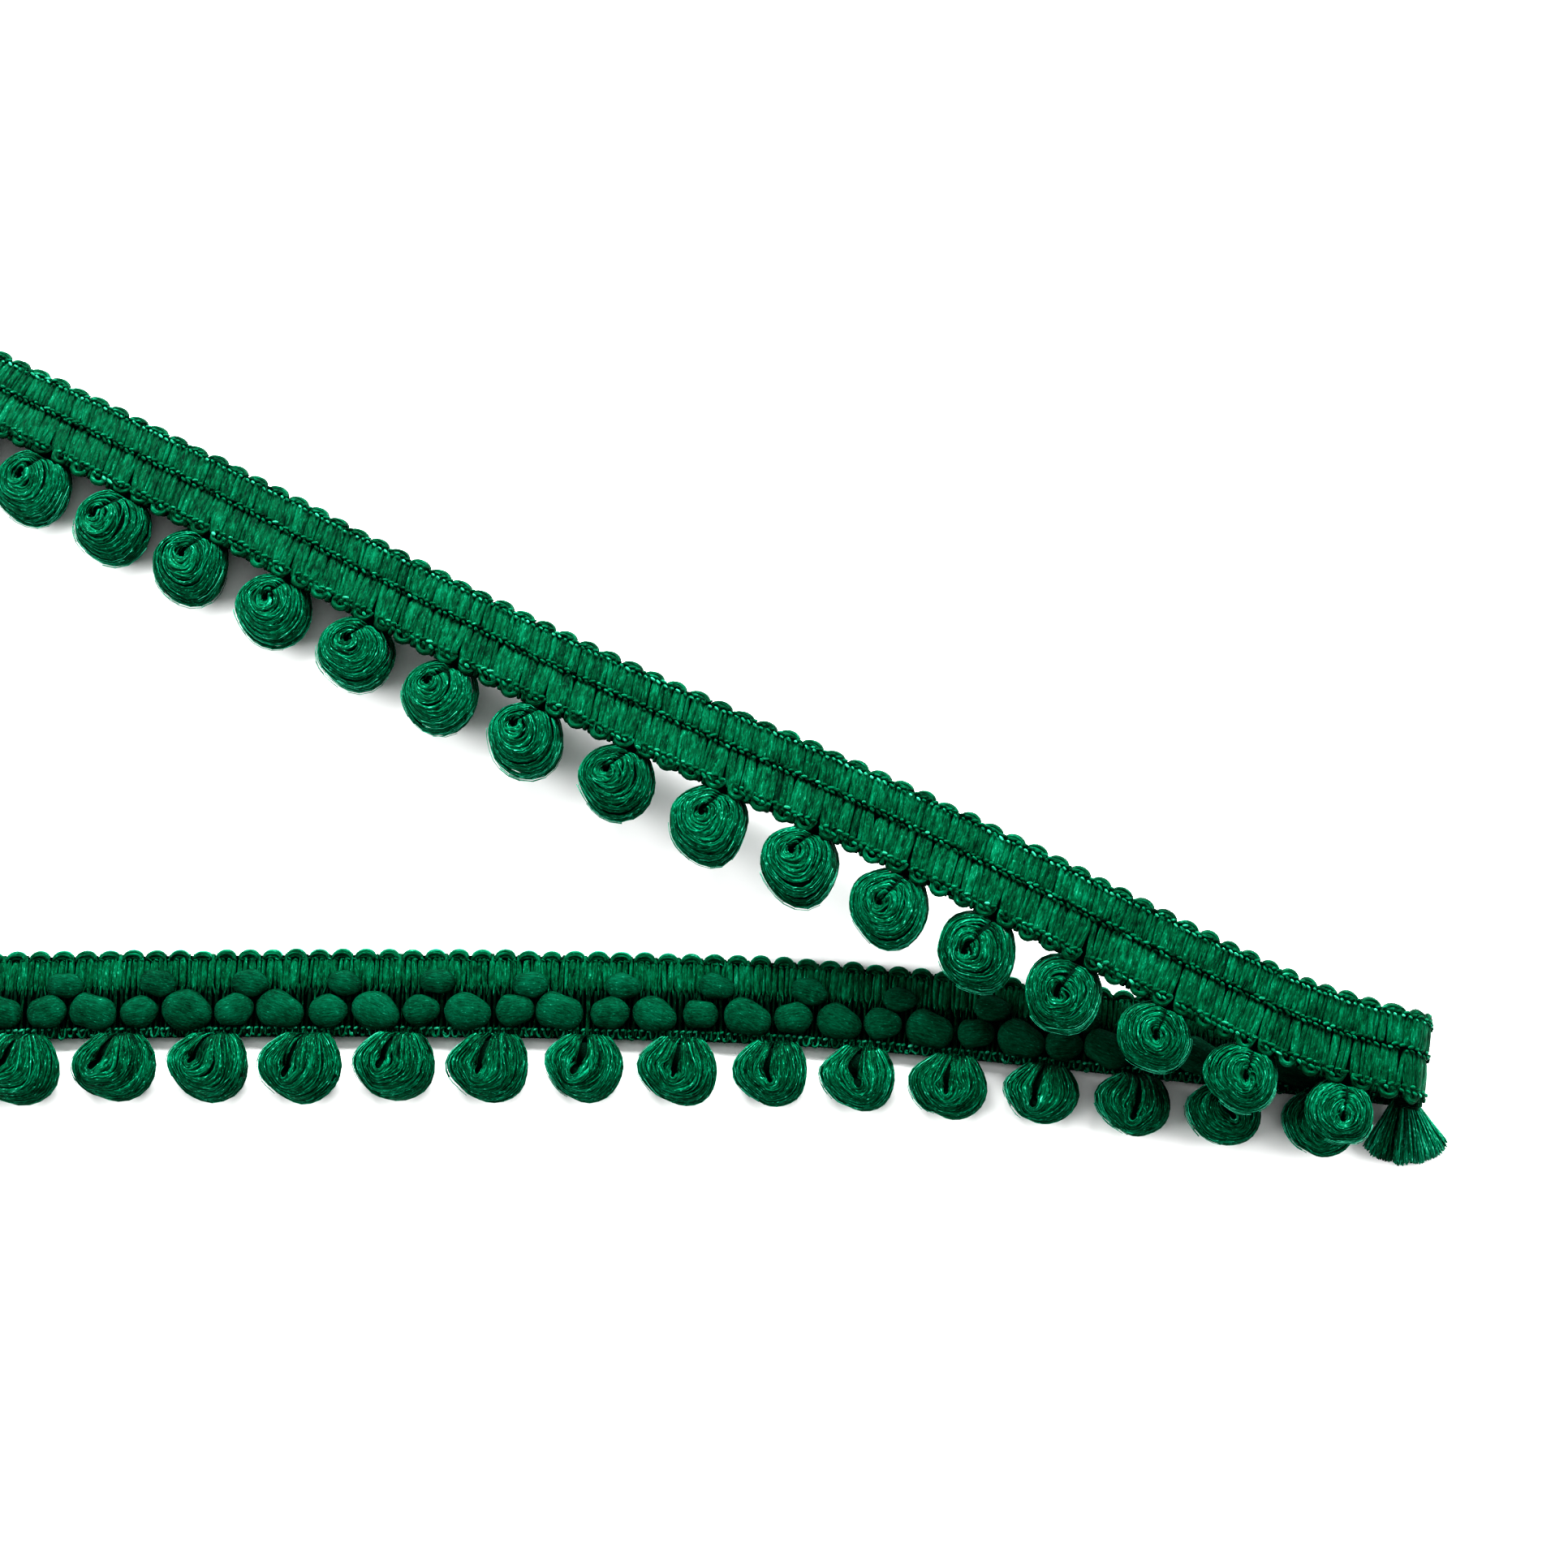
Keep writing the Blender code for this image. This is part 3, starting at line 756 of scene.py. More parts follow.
def make_cloth(lie, chance, material):
    """The ground cloth that the yarns are bound to, near black with painted shade for the gaps between them:
    one thin closed sheet, folded over once.
    """
    yarns = Yarns(chance)
    steps = TASSEL_COUNT * CLOTH_STEPS_PER_TASSEL + 1
    numbers = np.linspace(CLOTH_END_CLEAR, TASSEL_COUNT - CLOTH_END_CLEAR, steps)
    across = np.linspace(CLOTH_LOW, CLOTH_HIGH, 8)
    side = np.repeat([CLOTH_HALF_THICKNESS, -CLOTH_HALF_THICKNESS], len(across))
    across = np.concatenate([across, across[::-1]])
    flat = joined(lie.place(numbers)[None, :, None], across, HEADING_MIDDLE + side)
    yarns.skin(lie.points(flat), flat[..., [1, 2, 0]], 0.0)
    return yarns.make("heading_cloth", material)


def rib_bounds(chance, per_tassel):
    """Middles and half widths, counted in tassels, of unevenly spaced ribs, some of them thin."""
    count = TASSEL_COUNT * per_tassel
    edges = np.arange(count + 1) / per_tassel
    edges[1:-1] += chance.uniform(-RIB_JITTER, RIB_JITTER, count - 1) / per_tassel
    thin = 1.0 - RIB_THINNING * (chance.random(count) < 0.3)
    return (edges[1:] + edges[:-1]) / 2, (edges[1:] - edges[:-1]) / 2 * thin


def drawn_in(numbers, pitch, across):
    """Places across of ribs that end lower where the dark holes under the scallops are."""
    from_peak = ((numbers - SCALLOP_SHIFTS[0]) * SCALLOPS_PER_TASSEL + 0.5) % 1.0 - 0.5
    under = bell(from_peak * pitch / SCALLOPS_PER_TASSEL / HOLE_HALF)[:, None]
    return across - HOLE_DEPTH * under * np.clip((across - HOLE_START) / HOLE_RANGE, 0.0, 1.0)


def creased(past, along, across):
    """Places of ribs that the tassels draw aside and up, and that belly out between them."""
    side = (past > 0.0).astype(int)
    near = bell(past / np.array(CREASE_REACHES)[side])[:, None]
    low = np.clip(1.0 - across / CREASE_DEPTH, 0.0, 1.0) ** 0.8
    along = along + np.array(CREASE_PULLS)[side][:, None] * near * low
    ends = np.clip(1.0 - across / BELLY_DEPTH, 0.0, 1.0)
    tight = bell(past / CREASE_RISE_HALF)[:, None]
    return along, across - (BELLY_DROP * (1.0 - tight) - CREASE_RISE * tight) * ends


def make_ribs(lie, chance, material):
    """Weft yarns across both bands of the heading, drawn aside where the tassels are bound in."""
    yarns = Yarns(chance)
    for table, back, raised, between_tuft_shade in RIB_BANDS:
        numbers, halves = rib_bounds(chance, RIBS_PER_TASSEL[back])
        shown = (numbers >= TURNING_NUMBER) == bool(back)
        numbers, halves = numbers[shown], halves[shown]
        count = len(numbers)
        across, share, half_height = (np.tile(column, (count, 1)) for column in zip(*table))
        pitch = lie.pitch(numbers)
        half_width = (halves * pitch * RIB_OVERLAP)[:, None] * share
        along = lie.place(numbers)[:, None] + strays(chance, 0.035, count) * (across - across.mean())
        along = along + from_table(RIB_LEANS, along) * (across - across[0, 0])
        if table is FACE_UPPER_RIB:
            across = drawn_in(numbers, pitch, across)
        if table is BACK_LOWER_RIB:
            along, across = creased(past_axis(numbers, pitch), along, across)
        across = across + strays(chance, 0.06, count)
        taller = 1.0 + strays(chance, 0.05, count)
        height = np.minimum(half_height * taller, HEADING_MIDDLE)
        proud = HEADING_MIDDLE + strays(chance, 0.05, count) * back + raised
        flat = joined(along, across, np.maximum(proud, height))
        # Painted shade darkens the face's lower ribs, between the tufts
        tones = chance.normal(*RIB_TONES[back], count) + between_tuft_shade
        # Painted shade on the ribs' undersides and at their ends, by the chain rows
        more = {"relief": 0.05, "square": RIB_SQUARE, "crevice": RIB_CREVICE_SHADES[back], "ends": 0.25}
        yarns.laid(lie, flat, half_width, height, RIB_SIDES, tones, **more)
    return yarns.make("heading_ribs", material)


def arch(lie, peaks, half, start, end, shift, power):
    """Paths of loops that go across the heading from a start to an end and back, one round each peak."""
    turn = np.linspace(-1.0, 1.0, 11) * math.pi / 2
    numbers = peaks[:, None] + half * np.sin(turn)
    across = start + (end - start) * np.cos(turn) ** power
    return joined(lie.place(numbers), across, HEADING_MIDDLE + shift)


def add_scallops(lie, chance, yarns):
    """Loops of weft strands along the scalloped edge."""
    for back, strands in enumerate((FACE_SCALLOP, BACK_SCALLOP)):
        peaks = np.arange(TASSEL_COUNT * SCALLOPS_PER_TASSEL + 1) / SCALLOPS_PER_TASSEL
        peaks = peaks + SCALLOP_SHIFTS[back]
        peaks = peaks[(peaks > FACE_SCALLOP[0][0]) & (peaks < TASSEL_COUNT - BACK_SCALLOP[0][0])]
        peaks = peaks[(peaks >= TURNING_NUMBER) == bool(back)]
        count = len(peaks)
        top = SCALLOP_HIGH + strays(chance, 0.08, count)
        for half_span, across_shift, proud_shift, thickness, tone in strands:
            half = half_span * (1.0 + strays(chance, 0.04, count))
            flat = arch(lie, peaks, half, SCALLOP_LOW, top + across_shift, proud_shift, 0.7)
            flat[..., 2] = np.maximum(flat[..., 2], thickness)
            tones = chance.normal(tone, 0.06, count)
            # Painted shade at the loops' ends, where they go into the heading
            yarns.laid(lie, flat, thickness, thickness, YARN_SIDES, tones, relief=0.03, ends=0.3)


def add_edge_loops(lie, chance, yarns):
    """Small loops of weft along the tassel edge."""
    for back, (per_tassel, half, top, bottom, thickness, shift, lifted, tone) in enumerate(EDGE_LOOPS):
        peaks = (np.arange(TASSEL_COUNT * per_tassel) + 0.5) / per_tassel
        peaks = peaks[(peaks >= TURNING_NUMBER) == bool(back)]
        count = len(peaks)
        peaks = np.clip(peaks + chance.normal(0.0, 0.006, count), half, TASSEL_COUNT - half)
        near = bell(past_axis(peaks) / EDGE_RISE_HALF)
        end = (bottom + lifted * near + chance.normal(0.0, 0.10, count))[:, None]
        flat = arch(lie, peaks, half, top, end, shift, 0.8)
        tones = chance.normal(tone, 0.07, count)
        yarns.laid(lie, flat, thickness, thickness, YARN_SIDES, tones, relief=0.03)


def make_scallops(lie, chance, material):
    """Loops of weft along both edges: the scallops, and small loops between the tassels."""
    yarns = Yarns(chance)
    add_scallops(lie, chance, yarns)
    add_edge_loops(lie, chance, yarns)
    return yarns.make("heading_scallops", material)


def make_tufts(lie, chance, material):
    """Bulky yarn tufts on the face: a large, a small and a leaf shaped one for each tassel."""
    yarns = Yarns(chance)
    share = np.sin(np.linspace(-1.0, 1.0, TUFT_STEPS) * math.pi / 2 * 0.995)
    blunt = np.where(share < 0.0, *TUFT_BLUNTNESS)
    profile = np.maximum(1.0 - np.abs(share) ** blunt, 0.0) ** 0.5
    for shift, across, half_length, half_width, height, drop in TUFTS:
        numbers = np.arange(TASSEL_COUNT) + 0.5 + shift
        numbers = numbers[(numbers > TUFT_END_CLEAR) & (numbers < TASSEL_COUNT - TUFT_END_CLEAR)]
        count = len(numbers)
        size = 1.0 + strays(chance, 0.035, count)
        along = lie.place(numbers)[:, None] + strays(chance, 0.15, count)
        along = along + share * half_length * size
        tilt = drop + strays(chance, 0.22, count)
        middle = across + strays(chance, 0.12, count) - tilt * share
        thick = height * TUFT_HALF_THICKNESS * profile
        top = height * (TUFT_END_HEIGHT + (1.0 - TUFT_END_HEIGHT) * profile)
        flat = joined(along, middle, HEADING_THICKNESS - TUFT_SINK + top - thick)
        tones = chance.normal(-0.02, 0.05, count)
        lumps = 1.0 + TUFT_LUMPS * np.sin(share * 4.0 + chance.uniform(*PHASES, (count, 1)))
        wide = half_width * profile * size * lumps + TUFT_LEAST
        # Painted shade on the tufts' undersides and at their ends
        more = {"relief": 0.022, "crevice": 0.65, "ends": 0.45}
        yarns.laid(lie, flat, wide, thick + TUFT_LEAST, TUFT_SIDES, tones, **more)
    return yarns.make("heading_tufts", material)


def add_threads(lie, chance, yarns):
    """Thin warp threads that cross the dark gaps on the face."""
    spacing = 1.0 / THREADS_PER_TASSEL
    line = np.linspace(-1.0, 1.0, len(THREAD_PROFILE))
    for across, proud in THREAD_ROWS:
        numbers = np.arange(0.5 * spacing, TURNING_NUMBER, spacing)
        count = len(numbers)
        numbers = numbers + chance.uniform(-0.012, 0.012, count)
        along = lie.place(numbers)[:, None] + strays(chance, 0.14, count) * line
        flat = joined(along, across + line * THREAD_HALF_LENGTH, proud + 0.12 * (1.0 - line ** 2))
        tones = chance.normal(-0.05, 0.10, count)
        wide = THREAD_HALF_THICKNESS * np.array(THREAD_PROFILE)
        yarns.laid(lie, flat, wide, THREAD_HALF_THICKNESS, STRAND_SIDES, tones)


def add_knots(lie, chance, yarns, rows, start, end, back):
    """Rows of chain stitches, each a short slanted knot, between two places counted in tassels."""
    spacing = 1.0 / KNOTS_PER_TASSEL
    line, profile = np.array(KNOT_PROFILE).T
    for row, (across, proud, half_length, half_width, tone) in enumerate(rows):
        # Every other row starts half a stitch later, and slants the other way
        odd = row % 2
        numbers = np.arange(start + spacing * (0.3 + 0.5 * odd), end, spacing)
        numbers = numbers + chance.uniform(-0.010, 0.010, len(numbers))
        numbers = np.clip(numbers, KNOT_END_CLEAR, TASSEL_COUNT - KNOT_END_CLEAR)
        if back and across < CREASE_DEPTH / 2:
            numbers = numbers[np.abs(past_axis(numbers)) > CREASE_CLEAR]
        count = len(numbers)
        slant = (KNOT_SLANT if odd else -KNOT_SLANT) + strays(chance, 0.15, count)
        reach = half_length * (1.0 + strays(chance, 0.18, count))
        along = lie.place(numbers)[:, None] + line * reach
        places = across + strays(chance, 0.08, count) + slant * line * reach
        flat = joined(along, places, proud + strays(chance, 0.06, count))
        tones = chance.normal(tone, 0.20, count)
        # Painted glints on a few knots
        tones = tones + KNOT_GLINT_TONE * (chance.random(count) < KNOT_GLINT_SHARE)
        wide = profile * half_width
        yarns.laid(lie, flat, wide, wide * KNOT_HEIGHT, YARN_SIDES, tones)


def make_stitches(lie, chance, material):
    """Warp threads and chain stitches along the heading, on its face and on its back."""
    yarns = Yarns(chance)
    add_threads(lie, chance, yarns)
    add_knots(lie, chance, yarns, FACE_KNOTS, 0.0, TURNING_NUMBER, False)
    add_knots(lie, chance, yarns, BACK_KNOTS, TURNING_NUMBER - 0.3, TASSEL_COUNT, True)
    return yarns.make("heading_stitches", material)


def polar_outline(outline, eye, turns, waves):
    """Distance from the eye to a tassel's outline at each turn round the eye."""
    gaps = np.array(outline) - eye
    angles = np.arctan2(gaps[:, 1], gaps[:, 0])
    order = np.argsort(angles)
    radii = np.linalg.norm(gaps, axis=1)[order]
    angles = angles[order]
    angles = np.concatenate([angles - 2 * math.pi, angles, angles + 2 * math.pi])
    radii = np.tile(radii, 3)
    wrapped = (turns + math.pi) % (2 * math.pi) - math.pi
    blur = sum(np.interp(wrapped + shift, angles, radii) for shift in OUTLINE_BLUR) / len(OUTLINE_BLUR)
    wave = sum(size * np.sin(count * turns + start) for (count, size), start in zip(OUTLINE_WAVES, waves))
    return blur * (1.0 + wave)


class Loop:
    """One looped tassel: yarn that leaves the root, goes round the eye and comes back, over a dome."""

    def __init__(self, lie, index, chance, size, lean):
        self.axes = lie.tassel_axes(index + 0.5)
        self.upper = index > FOLD_TASSEL
        self.lean = np.array([lean, 0.0])
        self.root_height = self.axes[0][2] / MM
        self.half_high = TASSEL_HALF_THICKNESS * size
        self.middle_height = self.half_high - FLOOR_FLAT
        if self.upper:
            self.middle_height = max(self.middle_height, self.root_height - HANG_BELOW_HEADING)
        if index in SQUEEZED:
            self.half_high, self.middle_height = SQUEEZED[index]
        if self.upper:
            self.eye = np.array(UPPER_EYES[index - FOLD_TASSEL - 1]) * OUTLINE_SHARE
            outline = UPPER_OUTLINE
        else:
            self.eye = np.array([from_table(LOWER_EYES, index), LOWER_EYE_OUT])
            self.eye += LOWER_EYE_SPREAD * chance.uniform(-1.0, 1.0, 2)
            outline = LOWER_OUTLINE
        self.outline = np.array(outline) * OUTLINE_SHARE * size
        waves = chance.uniform(0.0, 2 * math.pi, len(OUTLINE_WAVES))
        self.middle = self.outline.mean(axis=0)
        self.share = np.linspace(0.0, 1.0, STRAND_STEPS)
        from_end = np.minimum(self.share, 1.0 - self.share)
        self.loose = smooth(from_end / (TUCK_SHARE if self.upper else GATHER_SHARE))
        self.sunk = 1.0 - smooth(from_end / SINK_SHARE)
        gap = np.array([0.0, ROOT_OUT]) - self.eye
        root_turn = math.atan2(gap[1], gap[0])
        self.turns = root_turn + ROUND_CLEAR + self.share * 2 * (math.pi - ROUND_CLEAR)
        slot_narrow, slot_long = SLOTS[self.upper]
        slot_long = slot_long * chance.uniform(*SLOT_LENGTHS)
        slot_turn = root_turn + chance.uniform(*SLOT_TURNS)
        self.inner = slot_narrow + (slot_long - slot_narrow) * np.cos(self.turns - slot_turn) ** 4
        self.outer = polar_outline(self.outline, self.eye, self.turns, waves)

    def edge(self, turns):
        """Distance from the middle to the outline, without its waves, at each turn round the middle."""
        return polar_outline(self.outline, self.middle, turns, np.zeros(len(OUTLINE_WAVES)))

    def dome(self, place, thinner=0.0):
        """Half height of the tassel at places on it, and the dip of its eye."""
        gap = place - self.middle
        edge = self.edge(np.arctan2(gap[..., 1], gap[..., 0]))
        share = np.clip(np.linalg.norm(gap, axis=-1) / edge, 0.0, 1.0)
        from_eye = np.linalg.norm(place - self.eye, axis=-1)
        dip = EYE_DIP * bell(from_eye / EYE_REACH)
        return (self.half_high - thinner) * np.sqrt(1.0 - share ** TASSEL_BLUNTNESS), dip

    def settle(self, out, height):
        """Heights kept off the table, and under the upper arm's heading or over the lower one's."""
        if self.upper:
            ceiling = self.root_height - CEILING_DEPTH + rise(out, *CEILING_RISE)
            return np.maximum(np.minimum(height, ceiling), LEAST_HEIGHT)
        return np.maximum(height, LEAST_HEIGHT + rise(out, *SILL_RISE))

    def strands(self, lifts, chance, drift, sway):
        """Paths of strands at lifts in radians, from 0 over the eye to half a turn under it."""
        count = len(lifts)
        ways = chance.integers(1, 4, (count, 1))
        swing = sway * np.sin(2 * math.pi * ways * self.share + chance.uniform(*PHASES, (count, 1)))
        lift = lifts[:, None] + drift * (self.share - 0.5) + swing
        lift = np.clip(lift, LIFT_CLEAR, math.pi - LIFT_CLEAR)
        reach = self.inner + np.sin(lift) * (self.outer - self.inner)
        place = self.eye + reach[..., None] * joined(np.cos(self.turns), np.sin(self.turns))
        if not self.upper:
            side = np.where(self.share < 0.5, 1.0, -1.0) * ROOT_HALF * np.sin(lift) + ROOT_SIDEWAYS
            depth = ROOT_OUT + ROOT_DEPTH * np.sin(lift) ** 2
            depth = depth + chance.uniform(-ROOT_SPREAD, ROOT_SPREAD, (count, 1))
            root_place = joined(side, depth)
            place = root_place + (place - root_place) * self.loose[:, None]
        half, dip = self.dome(place)
        over = np.tanh(EDGE_SHARPNESS * np.cos(lift))
        height = self.middle_height + half * over - dip * (over > 0.0)
        if self.upper:
            height = height - TUCK_DEPTH * (1.0 - self.loose) * over
        else:
            root_height = self.root_height + ROOT_OVER + ROOT_LAYER * over
            height = height + (root_height - height) * self.sunk
        place = place + self.lean
        height = self.settle(place[..., 1], height)
        outward = (place - self.middle) / TASSEL_RADIUS
        ups = outward[..., :1] * self.axes[1] + outward[..., 1:] * self.axes[2]
        ups[..., 2] = (height - self.middle_height) / max(self.half_high, 1.0)
        return tassel_points(self.axes, place, height), unit(ups + 1e-6)

    def core(self):
        """Rings of the body under the strands, from its top to its bottom, dark with painted shade."""
        sides = turns_round(16)
        levels = np.linspace(CORE_CLEAR, math.pi - CORE_CLEAR, 11)
        reach = np.sin(levels)[:, None] * (self.edge(sides) - CORE_INSET)
        place = self.middle + reach[..., None] * joined(np.cos(sides), np.sin(sides))
        place[..., 1] = np.maximum(place[..., 1], CORE_OUT)
        half, dip = self.dome(place, CORE_THINNER)
        over = np.sign(np.cos(levels) + 1e-9)[:, None]
        height = self.middle_height + half * over - dip * (over > 0.0)
        place = place + self.lean
        height = np.maximum(self.settle(place[..., 1], height), CORE_LEAST_HEIGHT)
        return tassel_points(self.axes, place, height)[None]

    def stem(self):
        """Rings of the bundle that joins the core to the heading, dark with painted shade."""
        turns = turns_round(10)
        outs = np.linspace(*STEM_REACH, 7)[:, None]
        place = joined(STEM_HALF_WIDTH * np.cos(turns), outs)
        level = np.linspace(self.root_height, self.middle_height, len(outs))[:, None]
        height = self.settle(place[..., 1], level + STEM_HALF_HEIGHT * np.sin(turns))
        return tassel_points(self.axes, place, height)[None]


def uneven(count, chance):
    """Shares from 0 to 1, unevenly spaced, with a few wide gaps."""
    steps = chance.uniform(0.6, 1.4, count)
    steps[chance.choice(np.arange(4, count - 4), GROOVES, replace=False)] *= GROOVE_WIDTH
    return (np.cumsum(steps) - steps / 2) / steps.sum()


def add_strands(loop, chance, yarns):
    """The strands over a looped tassel and the wider ones under it."""
    top = uneven(TOP_STRANDS, chance) ** TOP_CROWDING * math.pi / 2 * TOP_LAST_LIFT
    start, span = UNDER_LIFTS
    under = math.pi / 2 * (start + span * (np.arange(UNDER_STRANDS) + 0.5) / UNDER_STRANDS)
    lifts = np.concatenate([top, under])
    count = len(lifts)
    drift = TWIST + strays(chance, STRAND_DRIFTS[loop.upper], count)
    points, ups = loop.strands(lifts, chance, drift, STRAND_SWAYS[loop.upper])
    bulge = strays(chance, 0.07, count) * loop.loose * MM
    points = points + ups * bulge[..., None]
    points[..., 2] = np.maximum(points[..., 2], STRAND_LEAST_HEIGHT * MM)
    gap = np.linalg.norm(np.gradient(points, axis=0), axis=-1) / MM
    # Painted shade on each strand's underside, and at a lower tassel's roots
    overlap, flatness, crevice, spread, ends = STRAND_LOOKS[loop.upper]
    half_width = np.clip(gap * overlap, *STRAND_WIDTHS) * (1.0 + strays(chance, 0.08, count))
    half_width[TOP_STRANDS:] *= UNDER_WIDENING
    half_height = np.clip(half_width * flatness, *STRAND_HEIGHTS)
    tones = chance.normal(0.0, spread, count)
    yarns.tubes(points, ups, half_width, half_height, STRAND_SIDES, tones, crevice=crevice, ends=ends)


def add_strays(loop, chance, yarns):
    """Strands that run astray over the others."""
    lifts = chance.uniform(0.35, 1.45, STRAY_STRANDS)
    drift = strays(chance, 0.55, STRAY_STRANDS)
    points, ups = loop.strands(lifts, chance, drift, 0.05)
    points = points + ups * (STRAY_RISE * loop.loose * MM)[:, None]
    tones = chance.normal(0.12, 0.10, STRAY_STRANDS)
    yarns.tubes(points, ups, STRAY_THICKNESS, STRAY_THICKNESS, STRAND_SIDES, tones)


def add_wisps(loop, chance, yarns):
    """Short loose fibres that stand off the strands, pale with painted light shining through them."""
    lifts = chance.uniform(1.1, 1.7, WISPS)
    points, ups = loop.strands(lifts, chance, strays(chance, 0.35, WISPS), 0.06)
    swell = chance.uniform(0.10, 0.70, (WISPS, 1)) * np.sin(loop.share * math.pi) ** 0.7
    points = points + ups * (swell * MM)[..., None]
    points[..., 2] = np.maximum(points[..., 2], WISP_LEAST_HEIGHT * MM)
    first = chance.integers(*WISP_STARTS[loop.upper], WISPS)
    rows = np.arange(WISPS)[:, None]
    steps = first[:, None] + np.arange(WISP_STEPS)
    yarns.tubes(points[rows, steps], ups[rows, steps], WISP_THICKNESS, WISP_THICKNESS, 3, WISP_LIGHT_TONE)


def make_loop_tassel(lie, index, chance, size, lean, material):
    """One looped tassel: a core dark with painted shade, which has a stem on an upper one, strands, strays
    and wisps.
    """
    loop = Loop(lie, index, chance, size, lean)
    yarns = Yarns(chance)
    bodies = [loop.core(), loop.stem()] if loop.upper else [loop.core()]
    # The core and stem take a tone of painted shade
    for body in bodies:
        yarns.skin(body, body / MM, CORE_SHADE_TONE)
    for add in (add_strands, add_strays, add_wisps):
        add(loop, chance, yarns)
    piece = yarns.make("yarn_tassel_%02d" % (index + 1), material)
    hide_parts("tassel_%02d" % (index + 1))
    return piece


def add_fan(axes, chance, yarns, ends):
    """Strands that fan out from the neck to the table. Ends are the raggedness of their columns."""
    share = np.linspace(FAN_DEPTHS[0][0], 1.0, 12)
    grow = np.clip(share, 0.0, 1.0)
    place = np.sort(chance.uniform(-1.0, 1.0, FAN_STRANDS))
    layer = chance.uniform(-1.0, 1.0, FAN_STRANDS)
    turn = np.radians(FAN_TURN + FAN_SWEEP * place + chance.normal(0.0, 2.0, FAN_STRANDS))
    ragged = np.interp(place, np.linspace(-1, 1, FAN_COLUMNS), ends)
    ragged = ragged + chance.normal(0.0, 0.08, FAN_STRANDS)
    length = FAN_REACH * share + ragged[:, None] * grow ** 4
    starts = chance.uniform(*PHASES, (FAN_STRANDS, 1))
    wave = FAN_WAVE * grow * np.sin(share * chance.uniform(4.0, 9.0, (FAN_STRANDS, 1)) + starts)
    wide = FAN_NECK[0] + FAN_NECK_HALF * place[:, None] * (1.0 - grow)
    wide = wide + length * np.sin(turn)[:, None] + wave
    reach = FAN_NECK[1] + length * np.cos(turn)[:, None]
    depth = from_table(FAN_DEPTHS, share)
    edge = np.sqrt(1.0 - FAN_EDGE * place ** 2)
    root_height = axes[0][2] / MM
    height = root_height * (1.0 - grow ** FAN_DROOP) + depth * grow + (layer * edge)[:, None] * depth
    points = tassel_points(axes, joined(wide, reach), np.maximum(height, STRAND_LEAST_HEIGHT))
    ups = np.broadcast_to([0.0, 0.0, 1.0], points.shape)
    taper = from_table(FAN_STRAND_WIDTHS, share)
    middle_tone, spread, top_light, right_light = FAN_TONES
    gap_place, gap_half, gap_shade = FAN_GAP_SHADE
    # The top and right strands get painted light, and a band on the left painted shade
    tones = chance.normal(middle_tone, spread, FAN_STRANDS) + top_light * layer + right_light * place
    tones = tones - gap_shade * bell((place - gap_place) / gap_half)
    yarns.tubes(points, ups, taper, taper * FAN_FLATNESS, STRAND_SIDES, tones, crevice=FAN_CREVICE_SHADE)


def add_binding(axes, yarns):
    """Yarn wound round the fan's neck, dark with painted shade under the heading's edge."""
    steps = 12 * BINDING_TURNS + 1
    turns = np.linspace(0.0, 2.0 * math.pi * BINDING_TURNS, steps)
    reach = np.linspace(*BINDING_REACH, steps)
    wide = FAN_NECK[0] + reach * math.sin(math.radians(FAN_TURN))
    wide = wide + np.linspace(*BINDING_HALF_WIDTHS, steps) * np.cos(turns)
    height = axes[0][2] / MM * (1.0 - (reach / FAN_REACH) ** FAN_DROOP)
    height = height + BINDING_HALF_HEIGHT * np.sin(turns)
    points = tassel_points(axes, joined(wide, FAN_NECK[1] + reach), np.maximum(height, LEAST_HEIGHT))
    ups = np.cos(turns)[:, None] * axes[1] + np.sin(turns)[:, None] * np.array([0.0, 0.0, 1.0])
    yarns.tubes(points[None], ups[None], BINDING_THICKNESS, BINDING_THICKNESS, YARN_SIDES, BINDING_SHADE_TONE)


def make_fan_tassel(lie, chance, ends, material):
    """The tassel at the fold: it hangs from the bend, is bound at its neck and fans out to the table."""
    yarns = Yarns(chance)
    axes = lie.tassel_axes(FOLD_TASSEL + 0.5)
    add_fan(axes, chance, yarns, ends)
    add_binding(axes, yarns)
    piece = yarns.make("yarn_fold_tassel", material)
    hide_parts("fold_tassel")
    return piece


def make_tassels(lie, chance, material):
    """Every tassel along the trim. Sizes and leans are drawn as in the part's source."""
    draws = np.random.default_rng(7)
    pieces = []
    for index in range(TASSEL_COUNT):
        if index == FOLD_TASSEL:
            ends = np.array([FAN_RAGGEDNESS * (draws.random() - 0.5) for _ in range(FAN_COLUMNS)])
            pieces.append(make_fan_tassel(lie, chance, ends, material))
            continue
        size = (1.0 + SIZE_SPREAD * (draws.random() - 0.5)) * float(from_table(SIZES, index))
        lean = LEAN_SPREAD * (draws.random() - 0.5)
        pieces.append(make_loop_tassel(lie, index, chance, size, lean, material))
    return pieces


def make_floor():
    """A plain pale table under the trim."""
    half = 3.0
    mesh = bpy.data.meshes.new("floor")
    square = [(-half, -half, 0.0), (half, -half, 0.0), (half, half, 0.0), (-half, half, 0.0)]
    mesh.from_pydata(square, [], [(0, 1, 2, 3)])
    material = bpy.data.materials.new("pale_table")
    material.use_nodes = True
    look = {"Base Color": (0.90, 0.90, 0.90, 1.0), "Roughness": 0.9, "Specular IOR Level": 0.0}
    set_inputs(material.node_tree.nodes["Principled BSDF"], look)
    mesh.materials.append(material)
    floor = add_object("floor", mesh)
    return floor


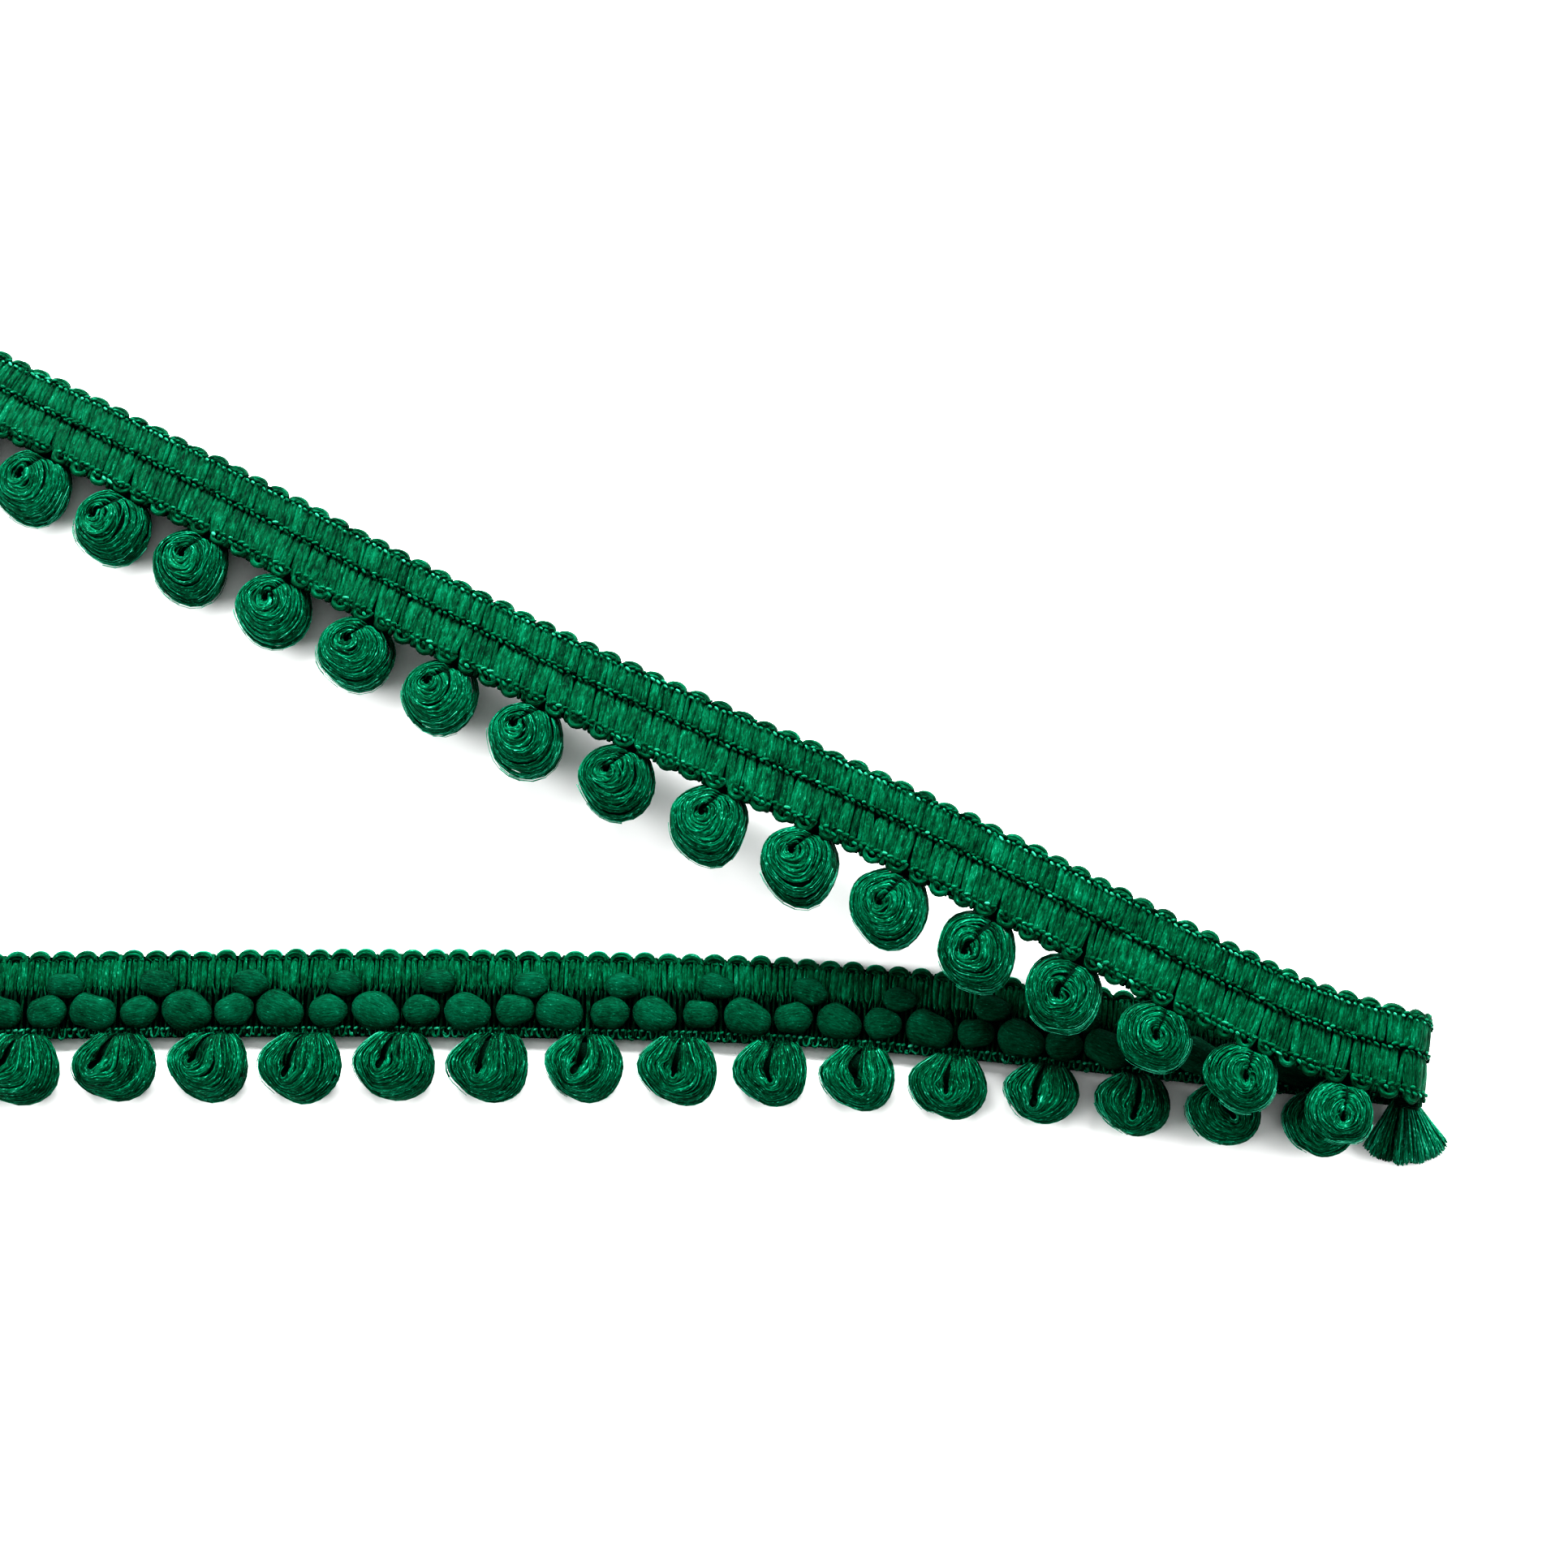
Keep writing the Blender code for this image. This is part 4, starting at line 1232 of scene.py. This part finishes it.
def point_at(thing, place, aim):
    """Put a camera or lamp at a place, facing another, with the picture's top towards +Y."""
    backward = unit(np.array(place, float) - np.array(aim, float))
    right = unit(np.cross([0.0, 1.0, 0.0], backward))
    up = np.cross(backward, right)
    matrix = np.eye(4)
    matrix[:3, 0], matrix[:3, 1], matrix[:3, 2], matrix[:3, 3] = right, up, backward, place
    thing.matrix_world = matrix.T.tolist()


def make_lights():
    """Light from a wide window behind the trim, a fill at either side, and an even one from all round."""
    for name, place, size, power in LIGHTS:
        light = bpy.data.lights.new(name, "AREA")
        light.shape = "RECTANGLE"
        light.size, light.size_y = size
        light.energy = power
        point_at(add_object(name, light), place, LIGHT_AIM)
    world = bpy.data.worlds.new("studio")
    world.use_nodes = True
    set_inputs(world.node_tree.nodes["Background"], {"Color": (1.0, 1.0, 1.0, 1.0), "Strength": 0.43})
    bpy.context.scene.world = world


def make_camera():
    """The photograph's view: from above, a little off the vertical."""
    elevation = math.radians(74.0)
    aim = np.array(CAMERA_AIM) * MM
    place = aim + CAMERA_DISTANCE * MM * np.array([0.0, -math.cos(elevation), math.sin(elevation)])
    camera = bpy.data.cameras.new("camera")
    camera.sensor_width = 36.0
    camera.lens = 59.52
    camera.clip_start = CAMERA_NEAR * MM
    camera.dof.use_dof = False
    holder = add_object("camera", camera)
    point_at(holder, place, aim)
    bpy.context.scene.camera = holder


def main():
    """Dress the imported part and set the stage."""
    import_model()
    chance = np.random.default_rng(11)
    lie = Lie()
    make_camera()
    floor = make_floor()
    make_lights()
    yarns = {name: yarn_material(name, *look) for name, look in YARN_LOOKS.items()}
    cloth = make_cloth(lie, chance, yarns["ground_yarn"])
    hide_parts("heading")
    trims = [
        make_ribs(lie, chance, yarns["heading_yarn"]),
        make_scallops(lie, chance, yarns["heading_yarn"]),
        make_tufts(lie, chance, yarns["tuft_yarn"]),
        make_stitches(lie, chance, yarns["heading_yarn"]),
    ]
    trims += make_tassels(lie, chance, yarns["tassel_yarn"])

    view = bpy.context.scene.view_settings
    view.view_transform = "Standard"
    view.look = "High Contrast"
    bpy.context.view_layer.update()


main()
